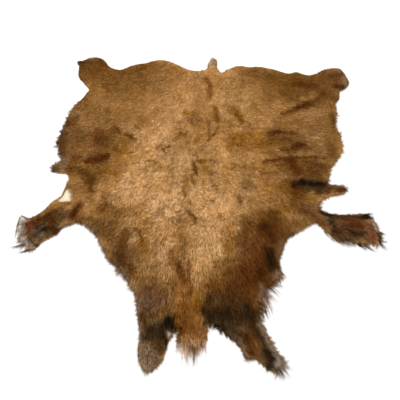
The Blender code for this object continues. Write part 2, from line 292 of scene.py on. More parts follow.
# %% The lie of the hair
Lie = namedtuple("Lie", "place x y reach heading length stray curl rim fringe")
LIES = [Lie(*row) for row in (
    ("left hind leg", -76, 104, 12, 140, 18, 16, 20, 6, 0),
    ("right hind leg", 94, 94, 11, 20, 18, 16, 20, 7, 0),
    ("left rump", -45, 92, 22, 212, 22, 14, 20, 3, 0),
    ("right rump", 52, 88, 20, 335, 22, 16, 20, 3, 0),
    ("tail", 9, 105, 6, 90, 18, 12, 10, 14, 2),
    ("behind the spine", 4, 84, 14, 268, 22, 16, 20, 3, 0),
    ("right of the furrow", 25, 78, 12, 262, 24, 16, 20, 3, 0),
    ("left loin", -45, 68, 20, 214, 26, 20, 30, 4, 0),
    ("right loin", 50, 62, 18, 352, 28, 18, 25, 6, 0),
    ("left flank", -86, 52, 14, 182, 28, 20, 30, 28, 9),
    ("left side", -64, 38, 14, 196, 28, 30, 50, 18, 4),
    ("right flank", 86, 50, 14, 355, 30, 16, 25, 20, 7),
    ("right side", 66, 32, 14, 358, 30, 18, 30, 12, 4),
    ("middle of the back", -5, 45, 18, 262, 24, 50, 90, 4, 0),
    ("left ribs", -38, 26, 20, 232, 24, 60, 110, 4, 0),
    ("right ribs", 30, 26, 20, 310, 24, 60, 110, 4, 0),
    ("hump", -2, 5, 20, 262, 26, 65, 120, 4, 0),
    ("left shoulder", -44, -12, 15, 244, 34, 34, 60, 6, 3),
    ("right shoulder", 42, -8, 14, 302, 38, 26, 40, 6, 4),
    ("left elbow", -86, 20, 10, 188, 24, 20, 30, 14, 3),
    ("left elbow tip", -98, 28, 5, 165, 26, 30, 50, 16, 26),
    ("right elbow", 82, 12, 12, 350, 30, 18, 25, 18, 10),
    ("right elbow tip", 93, 13, 5, 30, 26, 18, 25, 14, 26),
    ("left foreleg root", -88, -4, 8, 202, 34, 18, 30, 7, 2),
    ("left foreleg", -104, -15, 12, 212, 42, 18, 30, 18, 8),
    ("left foreleg end", -114, -22, 7, 235, 44, 26, 40, 20, 40),
    ("left foreleg cuff", -117, -13, 6, 196, 40, 20, 30, 10, 80),
    ("right foreleg", 96, -14, 13, 340, 46, 20, 30, 24, 14),
    ("right foreleg, lower edge", 92, -23, 7, 316, 44, 20, 30, 26, 34),
    ("right foreleg, heel", 105, -26, 7, 322, 44, 20, 30, 24, 30),
    ("right foreleg end", 111, -20, 8, 315, 46, 24, 30, 36, 16),
    ("left chest", -64, -24, 12, 236, 34, 18, 30, 12, 16),
    ("left armpit", -76, -17, 7, 258, 32, 18, 30, 14, 24),
    ("left chest, low", -52, -46, 7, 232, 36, 18, 30, 20, 30),
    ("left side of the neck", -36, -60, 12, 255, 40, 22, 45, 24, 20),
    ("right chest", 46, -26, 12, 298, 46, 18, 35, 12, 14),
    ("right side of the neck", 40, -56, 12, 306, 56, 18, 30, 55, 26),
    ("right neck, notch", 46, -51, 6, 316, 46, 30, 50, 30, 30),
    ("right neck, low notch", 40, -66, 5, 306, 46, 26, 50, 30, 36),
    ("right of the throat", 17, -64, 13, 282, 50, 20, 40, 24, 16),
    ("right of the parting", 8, -30, 12, 276, 46, 14, 20, 4, 4),
    ("left of the parting", -24, -34, 12, 254, 40, 18, 35, 4, 4),
    ("mane", -8, -60, 12, 268, 54, 14, 30, 14, 10),
    ("left cheek root", -22, -80, 8, 266, 40, 26, 50, 15, 8),
    ("left cheek", -30, -96, 11, 262, 38, 20, 40, 18, 8),
    ("right cheek", 33, -88, 12, 306, 50, 16, 30, 24, 12),
    ("right cheek end", 47, -102, 8, 308, 58, 14, 20, 46, 44),
    ("right cheek, outer side", 44, -88, 6, 318, 46, 16, 25, 30, 56),
    ("forelock", -6, -88, 11, 268, 66, 8, 20, 30, 70),
    ("forelock tips", -5, -97, 5, 269, 60, 8, 15, 40, 80),
)]

# %% [markdown]
# ## The colour of the hair
# A bison's wool bleaches in the sun: the back is caramel, while the flanks, neck and legs, which are shaded
# or hold longer hair, stay dark. The wheat and straw patches over the back, the hump and the withers are
# partly that bleaching and partly painted light where the back is lit fullest. Each tone is one hair colour
# with a name, and each row of the second table washes a soft patch of that tone over what is there, as a
# painter would with a wide brush. Noise breaks up the edges of the patches when they are laid.

# %% The tones of the hair
TONES = {
    # wheat and straw are partly sun-bleached hair and partly painted light
    "wheat": (226, 180, 122),
    "straw": (210, 163, 106),
    "caramel": (192, 144, 86),
    "tan": (166, 118, 62),
    "honey": (148, 96, 28),
    "hazel": (124, 81, 33),
    "bronze": (114, 68, 14),
    "umber": (98, 58, 18),
    "chestnut": (88, 42, 8),
    "ginger": (136, 84, 30),
    "bark": (54, 29, 8),
    "soot": (28, 17, 6),
    "smoke": (114, 84, 54),
    "ash": (156, 129, 104),
    "silver": (206, 196, 184),
    "russet": (112, 62, 36),
    "fawn": (196, 160, 128),
}

# Columns: x, y, half the patch's width and height in centimetres, its turn in degrees, the tone,
# and how much of the tone is laid over what is there.
Patch = namedtuple("Patch", "place x y across along turn tone share")
PATCHES = [Patch(*row) for row in (
    ("left rump", -50, 95, 40, 15, -4, "hazel", 0.80),
    ("left rump, inner", -24, 98, 18, 9, 0, "tan", 0.60),
    ("left rump, dark band", -45, 99, 16, 4, 8, "umber", 0.35),
    ("left hind leg", -77, 102, 13, 12, 0, "umber", 0.75),
    ("left hind leg, rim", -84, 104, 4, 8, 0, "bark", 0.45),
    ("left hind leg, inner", -68, 104, 6, 5, 0, "umber", 0.7),
    ("tail root", 2, 92, 22, 13, 0, "tan", 0.45),
    ("spine of the loin", 3, 66, 8, 12, 0, "tan", 0.85),
    ("light beside the tail", -7, 90, 8, 6, 50, "caramel", 0.5),
    ("right rump", 58, 90, 34, 16, -2, "hazel", 0.85),
    ("right rump, inner", 32, 90, 13, 14, 0, "tan", 0.55),
    ("right rump, dark", 70, 90, 18, 9, 0, "umber", 0.45),
    ("right hind leg", 95, 94, 12, 12, 0, "umber", 0.75),
    ("right thigh, light", 86, 66, 10, 7, 30, "tan", 0.55),
    ("right loin, tan", 48, 64, 13, 8, 25, "tan", 0.60),
    ("right loin, upper", 35, 73, 6, 6, 0, "tan", 0.5),
    ("right thigh, rim", 89, 79, 6, 7, 0, "umber", 0.70),
    ("left loin", -62, 74, 24, 14, 10, "hazel", 0.55),
    ("left loin, light", -30, 72, 20, 16, 30, "tan", 0.35),
    ("left thigh", -82, 76, 10, 12, 30, "hazel", 0.70),
    ("left flank", -88, 49, 11, 19, 0, "umber", 0.55),
    ("left flank, smoky", -88, 58, 7, 10, 0, "smoke", 0.40),
    ("left flank, rim", -94, 44, 4, 18, 4, "bark", 0.60),
    ("left side, upper patch", -66, 50, 10, 7, 0, "chestnut", 0.75),
    ("left side", -72, 42, 14, 18, 0, "umber", 0.45),
    ("left side, inner", -52, 44, 6, 9, 0, "hazel", 0.60),
    ("left side, top", -56, 54, 5, 4, 0, "umber", 0.45),
    ("left side, pale", -76, 38.5, 6, 4, 0, "tan", 0.65),
    ("left side, upper pale", -76, 60, 7, 8, 0, "tan", 0.5),
    ("left elbow tab", -94, 27, 9, 4, 0, "bark", 0.70),
    ("left armpit", -80, 14, 8, 8, 0, "hazel", 0.50),
    ("left armpit, light", -71, 2, 10, 7, 0, "caramel", 0.60),
    ("left elbow, dark", -60, -2, 5, 3.5, -8, "chestnut", 0.70),
    ("left elbow, honey", -57, 4, 6, 4, 0, "hazel", 0.60),
    ("left armpit, dark", -72, 15, 5, 7, 0, "umber", 0.65),
    ("left shoulder, honey", -52, -5, 18, 5, -4, "honey", 0.45),
    ("left shoulder", -56, -18, 15, 11, -30, "hazel", 0.65),
    ("left shoulder, rim", -66, -16, 12, 6, -35, "umber", 0.50),
    ("left foreleg, upper edge", -94, 1, 12, 4, 36, "tan", 0.60),
    ("left foreleg root", -88, -7, 9, 5, 20, "smoke", 0.70),
    ("left foreleg", -102, -14, 16, 9, 28, "bark", 0.75),
    ("left foreleg, warm", -108, -14, 7, 5, 25, "russet", 0.75),
    ("left foreleg, lower", -100, -19, 7, 3, 20, "soot", 0.50),
    ("left foreleg, elbow", -92, -17, 6, 4, 10, "bark", 0.90),
    ("left foreleg, under the cuff", -106, -27, 5, 3, 0, "bark", 0.70),
    ("left neck, dark patch", -49, -36, 10, 7, -35, "bark", 0.75),
    ("left neck, upper", -42, -32, 9, 8, 0, "umber", 0.50),
    ("left neck, pale", -41, -38, 5, 5, 0, "tan", 0.6),
    ("left neck, dark tail", -44, -46, 8, 5, -45, "umber", 0.75),
    ("left neck", -33, -62, 7, 8, 0, "smoke", 0.75),
    ("left neck, golden", -32, -42, 9, 9, 0, "tan", 0.55),
    ("left neck, rim", -56, -46, 14, 3.5, -48, "ash", 0.60),
    ("left neck, lower rim", -41, -64, 3, 14, 4, "ash", 0.60),
    ("left neck, lower", -33, -66, 10, 11, 0, "smoke", 0.80),
    ("left neck, inner", -24, -52, 7, 14, 0, "tan", 0.40),
    ("left throat", -34, -74, 8, 6, 0, "umber", 0.55),
    ("left throat, inner", -19, -75, 4, 6, 0, "bark", 0.80),
    ("left neck, dark inner", -26, -57, 6, 6, 0, "umber", 0.50),
    ("left cheek root", -19, -76, 6, 6, -20, "soot", 0.90),
    ("left cheek, dark", -27, -84, 11, 6, 10, "soot", 0.80),
    ("left cheek, dark foot", -22, -91, 5, 5, 0, "bark", 0.80),
    ("left cheek", -30, -98, 9, 9, 0, "smoke", 0.85),
    ("left cheek, pale end", -31, -99, 7, 7, 0, "ash", 0.45),
    ("left of the parting", -26, -34, 10, 14, 0, "tan", 0.40),
    ("left of the hump, honey", -36, -17, 7, 8, 0, "honey", 0.40),
    ("parting", -13, -34, 4, 16, -2, "hazel", 0.60),
    ("parting, dark", -11, -46, 3.5, 7, 0, "umber", 0.50),
    ("mane column", -12, -54, 7, 13, 0, "ginger", 0.75),
    ("mane column, root", -8, -70, 8, 12, 0, "ginger", 0.85),
    ("mane column, right", -3, -64, 4, 12, 0, "honey", 0.70),
    ("forelock", -6, -86, 10, 11, 0, "ginger", 0.85),
    ("forelock tips", -6, -95, 11, 5.5, 0, "fawn", 0.60),
    ("tail", 9, 107, 5, 6, 0, "ash", 0.6),
    ("right of the parting", 7, -24, 8, 16, 3, "straw", 0.20),
    ("right of the mane", 6, -52, 7, 7, 0, "tan", 0.50),
    ("right shoulder, upper", 46, -9, 11, 6, -6, "umber", 0.75),
    ("right shoulder, top", 40, -4, 8, 3, 0, "hazel", 0.60),
    ("right shoulder, inner", 29, -15, 6, 12, 0, "umber", 0.85),
    ("right shoulder, inner foot", 21, -27, 6, 6, 0, "umber", 0.40),
    ("right shoulder, honey", 57, -4, 12, 5, 0, "honey", 0.60),
    ("right shoulder", 46, -18, 15, 9, -20, "chestnut", 0.85),
    ("right chest", 42, -34, 13, 12, -20, "chestnut", 0.85),
    ("right chest, dark", 44, -38, 7, 8, 0, "soot", 0.40),
    ("right breast", 32, -34, 11, 13, 0, "chestnut", 0.65),
    ("right breast, inner", 17, -42, 12, 7, 10, "hazel", 0.75),
    ("right breast, foot", 26, -43, 8, 6, 0, "chestnut", 0.60),
    ("right neck", 28, -50, 16, 8, -6, "chestnut", 0.80),
    ("right neck, red", 12, -52, 10, 6, -14, "chestnut", 0.85),
    ("right neck, lower", 22, -61, 18, 7, -6, "bark", 0.80),
    ("right neck, rim", 38, -62, 8, 14, 10, "umber", 0.60),
    ("throat", 16, -71, 18, 7, -12, "soot", 0.90),
    ("throat, outer", 31, -69, 7, 6, 0, "soot", 0.85),
    ("throat, foot", 20, -82, 10, 4, -22, "soot", 0.90),
    ("throat, inner", 4, -64, 5, 7, 0, "bark", 0.90),
    ("right cheek, upper", 34, -80, 9, 7, -30, "bark", 0.85),
    ("right cheek, brown", 29, -92, 9, 8, -35, "chestnut", 0.75),
    ("right cheek, dark edge", 41, -90, 4, 10, 30, "soot", 0.65),
    ("right cheek end", 41, -97, 7, 7, 40, "soot", 0.65),
    ("right cheek hair", 51, -106, 6, 6, 40, "ash", 0.45),
    ("right elbow", 76, 13.5, 16, 5, -4, "soot", 0.60),
    ("right elbow, inner", 62, 10, 9, 7, 0, "chestnut", 0.85),
    ("right elbow tab", 92, 12, 8, 4, 0, "umber", 0.75),
    ("right armpit", 70, 3, 12, 5, 10, "honey", 0.50),
    ("right armpit, rim", 64, -13, 13, 3, 10, "hazel", 0.60),
    ("right foreleg root", 76, -8, 7, 5, -35, "russet", 0.70),
    ("right foreleg", 94, -15, 15, 10, -6, "bark", 0.75),
    ("right foreleg, smoky", 98, -14, 12, 6, -6, "russet", 0.45),
    ("right foreleg end", 110, -20, 4, 7, 10, "russet", 0.75),
    ("right foreleg, upper edge", 100, -7, 16, 2.5, 0, "soot", 0.60),
    ("right side, under the band", 70, 25, 16, 7, 0, "umber", 0.75),
    ("right side", 64, 40, 18, 9, 0, "hazel", 0.60),
    ("right flank", 89, 45, 9, 15, 0, "hazel", 0.65),
    ("right flank, upper", 84, 60, 10, 8, 0, "hazel", 0.45),
    ("right loin, olive", 34, 46, 18, 6, -2, "honey", 0.45),
    ("right side, upper", 62, 58, 13, 9, 0, "hazel", 0.60),
    ("right ribs, olive", 48, 28, 14, 5, 0, "honey", 0.50),
    ("right ribs", 50, 8, 12, 10, 0, "honey", 0.30),
    # Painted shade in the furrow above the tail
    ("furrow above the tail", 6, 86, 2.2, 8, 0, "umber", 0.70),
    ("left ribs, honey", -52, 34, 6, 12, 0, "honey", 0.45),
    # Partly painted light: the wheat and straw patches over the back, hump and withers lighten where it is
    # lit fullest
    ("left ribs, light", -38, 12, 18, 18, 0, "wheat", 0.60),
    ("light of the back", -27, 40, 14, 22, 0, "wheat", 0.60),
    ("light left of the hump", -24, -4, 10, 20, 10, "wheat", 0.55),
    ("light right of the hump", 5, -15, 13, 6, 0, "straw", 0.60),
    ("light of the hump", 0, 3, 22, 13, 0, "wheat", 0.80),
    ("light behind the hump", -20, 14, 13, 7, 0, "wheat", 0.5),
    ("light of the withers", 3, -15, 8, 5, 0, "wheat", 0.60),
    ("right ribs, light", 30, 1, 6, 5, 0, "caramel", 0.6),
    ("right elbow, light", 53, 17, 6, 4, 0, "tan", 0.5),
    ("light right of the tail", 18, 86, 5, 7, 0, "caramel", 0.7),
    ("light of the left loin", -14, 83, 8, 7, 0, "caramel", 0.6),
    ("right rump, tan", 45, 83, 6, 6, 0, "tan", 0.5),
    ("right hind leg, pale end", 101, 94, 3, 7, 0, "smoke", 0.60),
    ("mid back, shadow", 26, -9, 3.5, 4.5, 0, "hazel", 0.45),
    ("right shoulder, band", 54, -13, 8, 3, 20, "umber", 0.35),
    ("right ribs, low", 48, 1, 8, 3.5, 0, "hazel", 0.40),
    ("left spine, streak", -20, 15, 3.5, 8, 0, "hazel", 0.50),
    ("left withers, spot", -26, -7, 3.2, 3.2, 0, "hazel", 0.40),
    ("left side, dark middle", -66, 26, 8, 4.5, 20, "umber", 0.45),
    ("left flank, dark rim", -87, 33, 4.5, 5, 0, "umber", 0.40),
    ("right flank, high dark", 84, 73, 6, 4, -10, "umber", 0.50),
    ("right flank, middle dark", 76, 53, 5, 4, 0, "umber", 0.40),
    ("left loin, spot", -36, 58, 4, 3.5, 0, "hazel", 0.35),
    ("withers, light", -14, -3, 6, 8, 0, "wheat", 0.60),
    ("mane root, light", -19, -37, 6, 12, 0, "straw", 0.70),
    ("left shoulder, light", -38, -22, 6, 8, 0, "caramel", 0.45),
    ("parting, left light", -3, -18, 6, 6, 0, "wheat", 0.65),
    ("right back, light", 8, 23, 7, 7, 0, "straw", 0.75),
    ("right neck, warm", 10, -49, 12, 7, 0, "tan", 0.55),
    ("left flank, light", -78, 49, 6, 2.5, 0, "tan", 0.35),
    ("left withers, light", -30, -20, 4, 6, 0, "straw", 0.50),
    ("left shoulder, low light", -50, -21, 9, 5, 0, "tan", 0.40),
    ("left chest, dark rim", -58, -33, 4, 5, 40, "umber", 0.50),
    ("left neck, outer dark", -38, -52, 4, 8, 0, "umber", 0.30),
    ("left neck, rim haze", -38, -77, 4, 14, 0, "ash", 0.70),
    ("right chest, warm rim", 46, -26, 4, 8, 10, "ginger", 0.50),
    ("right chest, warm foot", 47, -43, 3, 4, 0, "umber", 0.60),
    ("right elbow, lower dark", 80, 9, 6, 3, 0, "bark", 0.60),
    ("right flank, low dark", 89, 36, 5, 6, 0, "umber", 0.45),
    ("right rump, dark band", 72, 71, 11, 3.5, 15, "umber", 0.40),
    ("right flank, light band", 85, 56, 3, 8, 25, "tan", 0.40),
    ("right side, dark band", 46, 47, 12, 3, 0, "bronze", 0.50),
    ("right loin, honey spot", 22, 60, 7, 4, 0, "honey", 0.45),
    ("right loin, dark spot", 38, 70, 3, 4.5, 0, "hazel", 0.45),
    ("right rump, light spot", 18, 83, 3, 4, 0, "straw", 0.50),
    ("back, light spot", -14, 52, 6, 3, 0, "caramel", 0.45),
    ("back, light spot right", 18, 50, 3.5, 3, 0, "straw", 0.35),
    ("back, left light", -5, 30, 6, 7, 0, "straw", 0.55),
    ("back, upper light", 3, 39, 4, 4, 0, "straw", 0.40),
    ("left elbow root", -85, 25, 5, 4, 0, "umber", 0.80),
    ("left flank, chestnut", -86, 60, 5, 4, 0, "chestnut", 0.35),
    ("left ribs, low dark", -71, 6, 7, 4, 0, "hazel", 0.45),
    ("left armpit, low dark", -78, -9, 5, 4, 0, "umber", 0.50),
    ("left foreleg, pale upper edge", -99, -4, 8, 2.2, 25, "tan", 0.50),
    ("left hind leg, tip", -73, 109, 4, 2.5, 0, "tan", 0.50),
    ("left rump, edge", -53, 102, 10, 3, 0, "umber", 0.35),
    ("right rump, edge", 30, 101, 12, 3, 0, "hazel", 0.30),
    ("right side, light", 40, 29, 7, 3, 0, "caramel", 0.60),
    ("right side, low light", 48, 16, 8, 3, 0, "tan", 0.60),
    ("right ribs, light spot", 25, 4, 3.5, 5, 0, "straw", 0.45),
    ("right loin, light", 51, 56, 6, 3, 0, "tan", 0.35),
    ("left ribs, light spot", -54, 24, 3, 3.5, 0, "caramel", 0.45),
    ("left ribs, light spot, inner", -37, 23, 3, 4, 0, "straw", 0.40),
    ("left shoulder, light spot", -63, 7, 3, 4, 0, "caramel", 0.45),
    ("left of the spine, light spot", -15, 80, 4, 4, 0, "caramel", 0.35),
    ("spine, light end", -4, 94, 5, 5, 0, "caramel", 0.40),
    ("left throat, brown", -21, -67, 4.5, 6, 0, "umber", 0.60),
    ("left ribs, tan spot", -28, 25, 6, 4, 0, "hazel", 0.25),
    ("left side, tan spot", -61, 28, 6, 5, 0, "umber", 0.25),
    ("left side, low spot", -52, 15, 4, 3, 0, "hazel", 0.30),
    ("left loin, shade", -50, 61, 13, 6, 0, "hazel", 0.22),
    ("left rump, shade", -65, 92, 9, 7, 0, "hazel", 0.25),
    ("right rump, dark band, upper", 68, 80, 11, 3, 14, "umber", 0.35),
    ("right flank, spot", 67, 47, 3, 4, 0, "umber", 0.35),
    ("right flank, low spot", 81, 27, 5, 4, 0, "umber", 0.40),
    ("right elbow, foot", 91, 9.5, 5, 2, 10, "smoke", 0.60),
    ("right chest, smoky rim", 51, -47, 1.8, 4, 0, "ash", 0.70),
    ("right chest, smoky bay", 52, -26, 2, 8, -25, "smoke", 0.60),
    ("left chest, smoky rim", -51, -46, 2.5, 9, 40, "ash", 0.60),
    ("left elbow, smoky root", -93, 29, 4.5, 4.5, 0, "ash", 0.60),
    ("right hind leg, pale rim", 102, 93, 2.5, 7, 0, "ash", 0.60),
    ("right hind leg, pale top", 95, 101, 6, 2, -10, "ash", 0.50),
    ("left hind leg, pale top", -73, 110, 5, 2.5, 0, "ash", 0.50),
    ("under the bare place", -86, 1.5, 4.5, 1.6, 0, "hazel", 0.60),
    ("hump, left light", -25, 14, 6, 5, 0, "straw", 0.70),
    ("right throat, brown", 22, -70, 5, 4, 0, "umber", 0.50),
    ("throat, brown", 2, -66, 5, 4, 0, "umber", 0.45),
    ("throat, dark rim", 13, -79, 5, 2.5, 0, "soot", 0.60),
    ("right cheek, smoky root", 22, -86, 5, 4, 0, "smoke", 0.45),
    ("left foreleg, foot light", -98, -19, 6, 2.5, 20, "smoke", 0.50),
    ("right neck, outer", 42, -47, 7, 5.5, -20, "chestnut", 0.90),
    ("right neck, outer dark", 42, -47, 5, 4, -20, "bark", 0.60),
    ("throat, inner edge", 3.4, -72, 3, 5, 0, "bark", 0.70),
    ("throat, upper brown", 10, -67.5, 6, 3.5, 0, "umber", 0.50),
    ("left cheek root, grey", -23, -78, 4, 4, 0, "smoke", 0.45),
    ("right of the mane, light", 2, -46, 5, 6, 0, "caramel", 0.55),
    ("left shoulder, warm light", -41, -17, 11, 6, 25, "caramel", 0.50),
    ("spine, brown spot", -1, 47, 3.5, 5, 0, "honey", 0.50),
    ("right ribs, brown spot", 29, 14, 6.5, 5, -40, "hazel", 0.42),
    ("left loin, low shade", -26, 42, 14, 4, 10, "hazel", 0.18),
    ("left flank, pale foot", -94.5, 34, 2.5, 5, 0, "ash", 0.70),
    ("right cheek, smoky side", 46, -93, 2.5, 9, 30, "ash", 0.60),
    ("right cheek, dark core", 44, -98, 4.5, 6, 35, "soot", 0.85),
    ("right cheek, smoky end", 51.5, -103, 3.5, 7, 35, "silver", 0.70),
    ("mane root, light spot", -20, -32, 4, 5, 0, "wheat", 0.70),
    ("left neck, tan spot", -34, -41, 7, 3, 0, "tan", 0.40),
    ("left neck, tan streak", -27, -32, 3, 6, 0, "tan", 0.30),
    ("left withers, light end", -45, -1, 7, 4, 0, "straw", 0.80),
    ("left withers, tan spot", -36, -4, 5, 4, 0, "tan", 0.35),
    ("withers, tan spot", -23, -6, 3, 4, 0, "tan", 0.60),
    ("right ribs, brown dot", 35, 22, 2.5, 3.5, 0, "hazel", 0.40),
    ("left side, brown spot", -62, 19, 5, 4, 0, "hazel", 0.40),
    ("left side, light dot", -63, 7, 3, 3, 0, "caramel", 0.55),
    ("left loin, brown spot", -64, 61, 4, 4, 0, "umber", 0.30),
    ("left loin, hazel spot", -47, 43, 3, 3, 0, "hazel", 0.40),
    ("left loin, tan streak", -35, 58, 7, 4, -40, "tan", 0.45),
    ("left rump, hazel spot", -36, 81, 4, 4, 0, "hazel", 0.30),
    ("left flank, red spot", -82, 32, 5, 3, 0, "chestnut", 0.35),
    ("right flank, dark rim", 91, 62, 2.5, 7, 0, "bark", 0.45),
    ("right rump, hazel band", 62, 75, 7, 2.5, 14, "hazel", 0.40),
    ("left armpit, dark rim", -76, -12, 8, 2.5, 8, "umber", 0.50),
    ("right armpit, dark rim", 83, -5, 6, 2, -8, "bark", 0.60),
    ("left neck, tan patch", -29, -53, 5, 4, 0, "tan", 0.45),
    ("left cheek, smoky side", -36, -84, 4, 5, 0, "ash", 0.50),
    ("right cheek, smoky foot", 24, -87, 5, 4, -20, "smoke", 0.55),
    ("left chest, pale rim", -50, -44, 2.5, 9, 40, "ash", 0.60),
    ("right chest, pale rim", 50.5, -48, 2.5, 6, 10, "ash", 0.75),
    ("right neck, pale rim", 42, -62, 3.5, 6, 15, "ash", 0.60),
    ("right bay, smoky rim", 59, -20, 5, 2, 35, "smoke", 0.60),
    ("left bay, smoky rim", -66, -17, 2.5, 3, 0, "smoke", 0.60),
    ("front, red wash", 31, -32, 20, 24, 0, "chestnut", 0.22),
    ("right withers, light", 10, -13, 13, 5, 0, "straw", 0.40),
    ("right foreleg, pale top", 100, -6.5, 9, 1.8, 0, "ash", 0.45),
    ("right neck, inner dark", 36, -54, 4, 5, 0, "chestnut", 0.50),
    ("right side, red brown", 54, 48, 12, 5, 0, "chestnut", 0.30),
    ("right ribs, red band", 74, 25, 13, 6, 0, "chestnut", 0.22),
    ("right armpit, brown", 64, -2, 6, 10, 0, "chestnut", 0.38),
    ("right ribs, honey end", 50, 8, 8, 4, 0, "honey", 0.35),
    ("right rump edge, brown", 42, 97, 16, 4, 0, "umber", 0.35),
    ("left rump edge, brown", -40, 104, 16, 4, 8, "umber", 0.28),
    ("right loin, bronze spot", 10, 66, 2, 6, 0, "bronze", 0.40),
    ("right hind leg, ginger foot", 98, 88, 5, 3, 0, "ginger", 0.45),
    ("right rump, light spot, outer", 68, 94, 5, 3, 0, "hazel", 0.40),
    ("left neck, hazel streak", -27, -32, 3.5, 7, 0, "hazel", 0.40),
    ("left neck, hazel spot", -34, -41, 6, 4, 0, "hazel", 0.35),
    ("by the spine, pale", -5, -18, 4, 7, 0, "wheat", 0.60),
    ("left chest, ginger", -49, -26, 6, 6, 0, "ginger", 0.40),
    ("back, hazel shade", -17, 39, 9, 6, 0, "hazel", 0.20),
    ("left withers, straw dot", -40, -25, 4, 5, 0, "straw", 0.45),
    ("left foreleg, upper smoke", -96, -5, 6, 2.5, 30, "smoke", 0.45),
    ("left foreleg, pale corner", -113, -10, 4, 2.5, 0, "ash", 0.70),
    ("right breast, light foot", 20, -43, 5, 4, 0, "hazel", 0.55),
    ("right shoulder, ginger", 40, -8, 5, 4, 0, "ginger", 0.45),
    ("throat, dark foot", 14, -81, 6, 2.5, -20, "soot", 0.60),
    ("hump, tan dot", 10, 8, 5, 3, 0, "tan", 0.55),
    ("left throat, umber", -26, -70, 4, 6, -20, "umber", 0.40),
    ("right loin, hazel dot", 20, 70, 3, 5, 0, "hazel", 0.35),
    ("right ribs, tan end", 35, 0, 5, 3, 0, "tan", 0.45),
    ("parting, tan side", 1, -30, 3, 6, 0, "tan", 0.30),
    ("spine, hazel dot", -7, 9, 2, 4, 0, "hazel", 0.30),
    ("mane foot, ginger", -14, -77, 3, 4, 0, "ginger", 0.50),
    ("throat, red wash", 18, -57, 17, 7, -6, "chestnut", 0.45),
    ("throat, red wash, outer", 33, -63, 5, 9, 10, "chestnut", 0.40),
    ("left throat, red wash", -31, -62, 8, 12, 0, "russet", 0.25),
    ("left chest, red wash", -50, -34, 8, 9, 30, "russet", 0.30),
    ("right neck, ginger spot", 10, -55, 6, 4, -10, "ginger", 0.50),
    ("front half, warm light", -6, -26, 46, 20, 0, "straw", 0.20),
    ("right breast, light", 20, -17, 6, 5, 0, "straw", 0.55),
    ("left withers, low light", -39, -23, 6, 5, 0, "straw", 0.45),
    ("right neck, smoky rim", 39.5, -59, 3, 6, 15, "ash", 0.50),
    ("mane, right side", -1, -64, 3, 6, 0, "honey", 0.55),
    ("left throat, upper brown", -17, -62, 3, 8, -6, "umber", 0.50),
    ("right neck, red spot", 34, -54, 4, 4, 0, "chestnut", 0.50),
    ("right ribs, low brown spot", 34, 9, 4.5, 4, 0, "hazel", 0.50),
    ("right side, umber spot", 53, 29, 5, 3, 0, "umber", 0.75),
    ("right side, bronze spot", 46, 37, 4, 3, 0, "bronze", 0.50),
    ("right flank, inner dark", 67, 41, 4, 3.5, 0, "bark", 0.40),
    ("back, light round the blot", -14, 53, 5, 3, 0, "caramel", 0.55),
    ("right ribs, light end", 51, 17, 6, 2.5, 0, "straw", 0.45),
    ("right flank, upper light", 84, 58, 3.5, 6, 20, "tan", 0.55),
    ("left shoulder, brown end", -53, -8, 4, 5, 0, "umber", 0.40),
    ("withers, light by the spine", -15, -4, 6, 6, 0, "wheat", 0.85),
    ("withers, honey spot", -8, -12, 3.5, 3.5, 0, "honey", 0.35),
    ("left rump, brown end", -65, 84, 6, 5, 0, "umber", 0.35),
    ("left flank, dark spot", -72, 43, 5, 4, 0, "chestnut", 0.35),
    ("forelock, middle brown", -5, -83, 4, 4, 0, "umber", 0.45),
    ("forelock, right side", 2.5, -84, 2, 8, 0, "tan", 0.50),
    ("left foreleg, upper light", -98, -5, 6, 2.5, 30, "tan", 0.45),
    ("left foreleg, foot light, outer", -98, -19, 5, 2, 20, "smoke", 0.40),
    ("left foreleg cuff", -118, -14, 5.5, 11, 6, "silver", 1.00),
    ("right foreleg, dark side of the root", 83, -14, 4, 7, 20, "smoke", 0.55),
    ("right foreleg, dark foot", 88, -20, 7, 2.2, -25, "umber", 0.35),
    ("left foreleg, lower cuff", -113, -27.5, 7, 4.6, -22, "silver", 0.80),
)]
